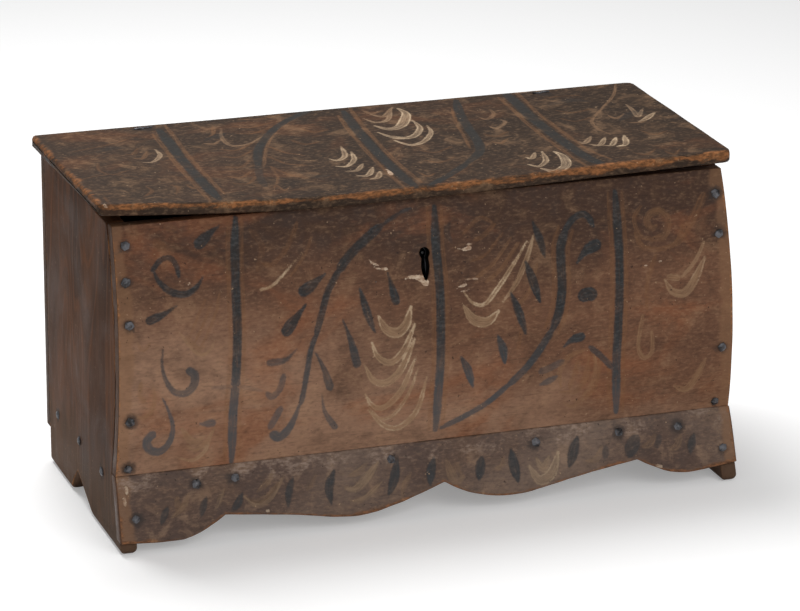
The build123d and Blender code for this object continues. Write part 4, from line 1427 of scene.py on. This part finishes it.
def make_all_nails(material):
    """Each nail is a place and the way its head faces."""
    groups = {}
    for name, places in FRONT_NAILS.items():
        ways = [(0, bow_face(z) - BOW_Y, z - BOW_Z) for _, z in places]
        groups[name] = [((CASE_X + x, bow_face(z), z), way) for (x, z), way in zip(places, ways)]
    for name, places in SKIRT_NAILS.items():
        groups[name] = [((CASE_X + x, skirt_face(z), z), (0, -1, SKIRT_SLOPE)) for x, z in places]
    lean = END_LEAN / FRONT_TOP
    for side, name in ((-1, "end_nails_left"), (1, "end_nails_right")):
        groups[name] = [((end_x(side, z), FRONT_Y + y, z), (side, 0, lean)) for y, z in END_NAILS]
    for side, name in ((-1, "back_nails_left"), (1, "back_nails_right")):
        groups[name] = [((CASE_X + side * BACK_NAIL_X, REAR_Y, z), (0, 1, 0)) for z in BACK_NAIL_Z]
    groups["back_row_nails"] = [((CASE_X + x, REAR_Y, BACK_ROW_Z), (0, 1, 0)) for x in BACK_ROW_X]
    for seed, (name, places) in enumerate(groups.items(), FIRST_SEED):
        make_nails(name, places, material, seed)


def soften(node, width):
    """Small rounds on a carried-over piece's sharp edges."""
    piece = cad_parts[node]
    weld = piece.modifiers.new("weld", "WELD")
    weld.merge_threshold = 0.00001
    bevel = piece.modifiers.new("round", "BEVEL")
    bevel.width = width
    bevel.segments = 2
    bevel.limit_method = "ANGLE"
    bevel.angle_limit = math.radians(35)
    return piece


def finish_iron(material):
    for node in ("lock_plate", "lock_cover", "lock_bolt", "lid_staple"):
        dress(soften(node, 0.0003), material)
    # The key post is painted near black: painted shade for its place deep in the keyhole
    dress(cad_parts["key_post"], iron("key_post_shaded_iron", 0.0, 0.15))
    pins = ("left_lid_pin", "right_lid_pin", "left_case_pin", "right_case_pin")
    for node in (*pins, "lock_spring", "lock_nails"):
        dress(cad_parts[node], material)


# Stage
def make_floor():
    half = 6.0
    corners = [(-half, -half, 0), (half, -half, 0), (half, half, 0), (-half, half, 0)]
    floor = new_piece("floor", corners, [(0, 1, 2, 3)])
    s = Shader(bpy.data.materials.new("floor"))
    path = s.node("LightPath")
    seen = s.math("MAXIMUM", path.outputs["Is Camera Ray"], path.outputs["Is Glossy Ray"])
    paper = s.node("BsdfDiffuse", {"Color": FLOOR_TONE})
    glow = s.node("Emission", {"Color": (1, 1, 1, 1), "Strength": s.times(seen, FLOOR_GLOW)})
    s.close(s.node("AddShader", {0: paper.outputs[0], 1: glow.outputs[0]}))
    dress(floor, s.owner)


def make_world():
    """Soft light from all round, and a white background where the camera looks past the floor."""
    world = bpy.data.worlds.new("studio")
    bpy.context.scene.world = world
    s = Shader(world)
    light = s.node("Background", {"Color": SKY_TONE, "Strength": SKY_LIGHT})
    white = s.node("Background", {"Color": SKY_TONE, "Strength": 1.0})
    seen = s.node("LightPath").outputs["Is Camera Ray"]
    s.close(s.node("MixShader", {0: seen, 1: light.outputs[0], 2: white.outputs[0]}))


def make_lamp(name, place, size, power):
    data = bpy.data.lights.new(name, "AREA")
    data.shape = "SQUARE"
    data.size = size
    data.energy = power
    lamp = bpy.data.objects.new(name, data)
    lamp.location = place
    way = Vector((0, 0, 0.15)) - Vector(place)
    lamp.rotation_mode = "QUATERNION"
    lamp.rotation_quaternion = way.to_track_quat("-Z", "Y")
    bpy.context.scene.collection.objects.link(lamp)


make_camera()
make_world()
make_floor()
make_lamp("key", (0.5, -2.4, 1.5), 2.0, 32)
make_lamp("top", (-0.3, 0.85, 2.1), 1.1, 46)

make_front()
make_skirt()
make_lid()
make_end(-1, "left_end_board_worn")
make_end(1, "right_end_board_worn")
make_back()
forged = iron("wrought_iron")
make_all_nails(forged)
finish_iron(forged)
dress(soften("bottom_board", 0.0008), plain_wood("bare_wood"))

bpy.context.scene.view_settings.view_transform = "Standard"
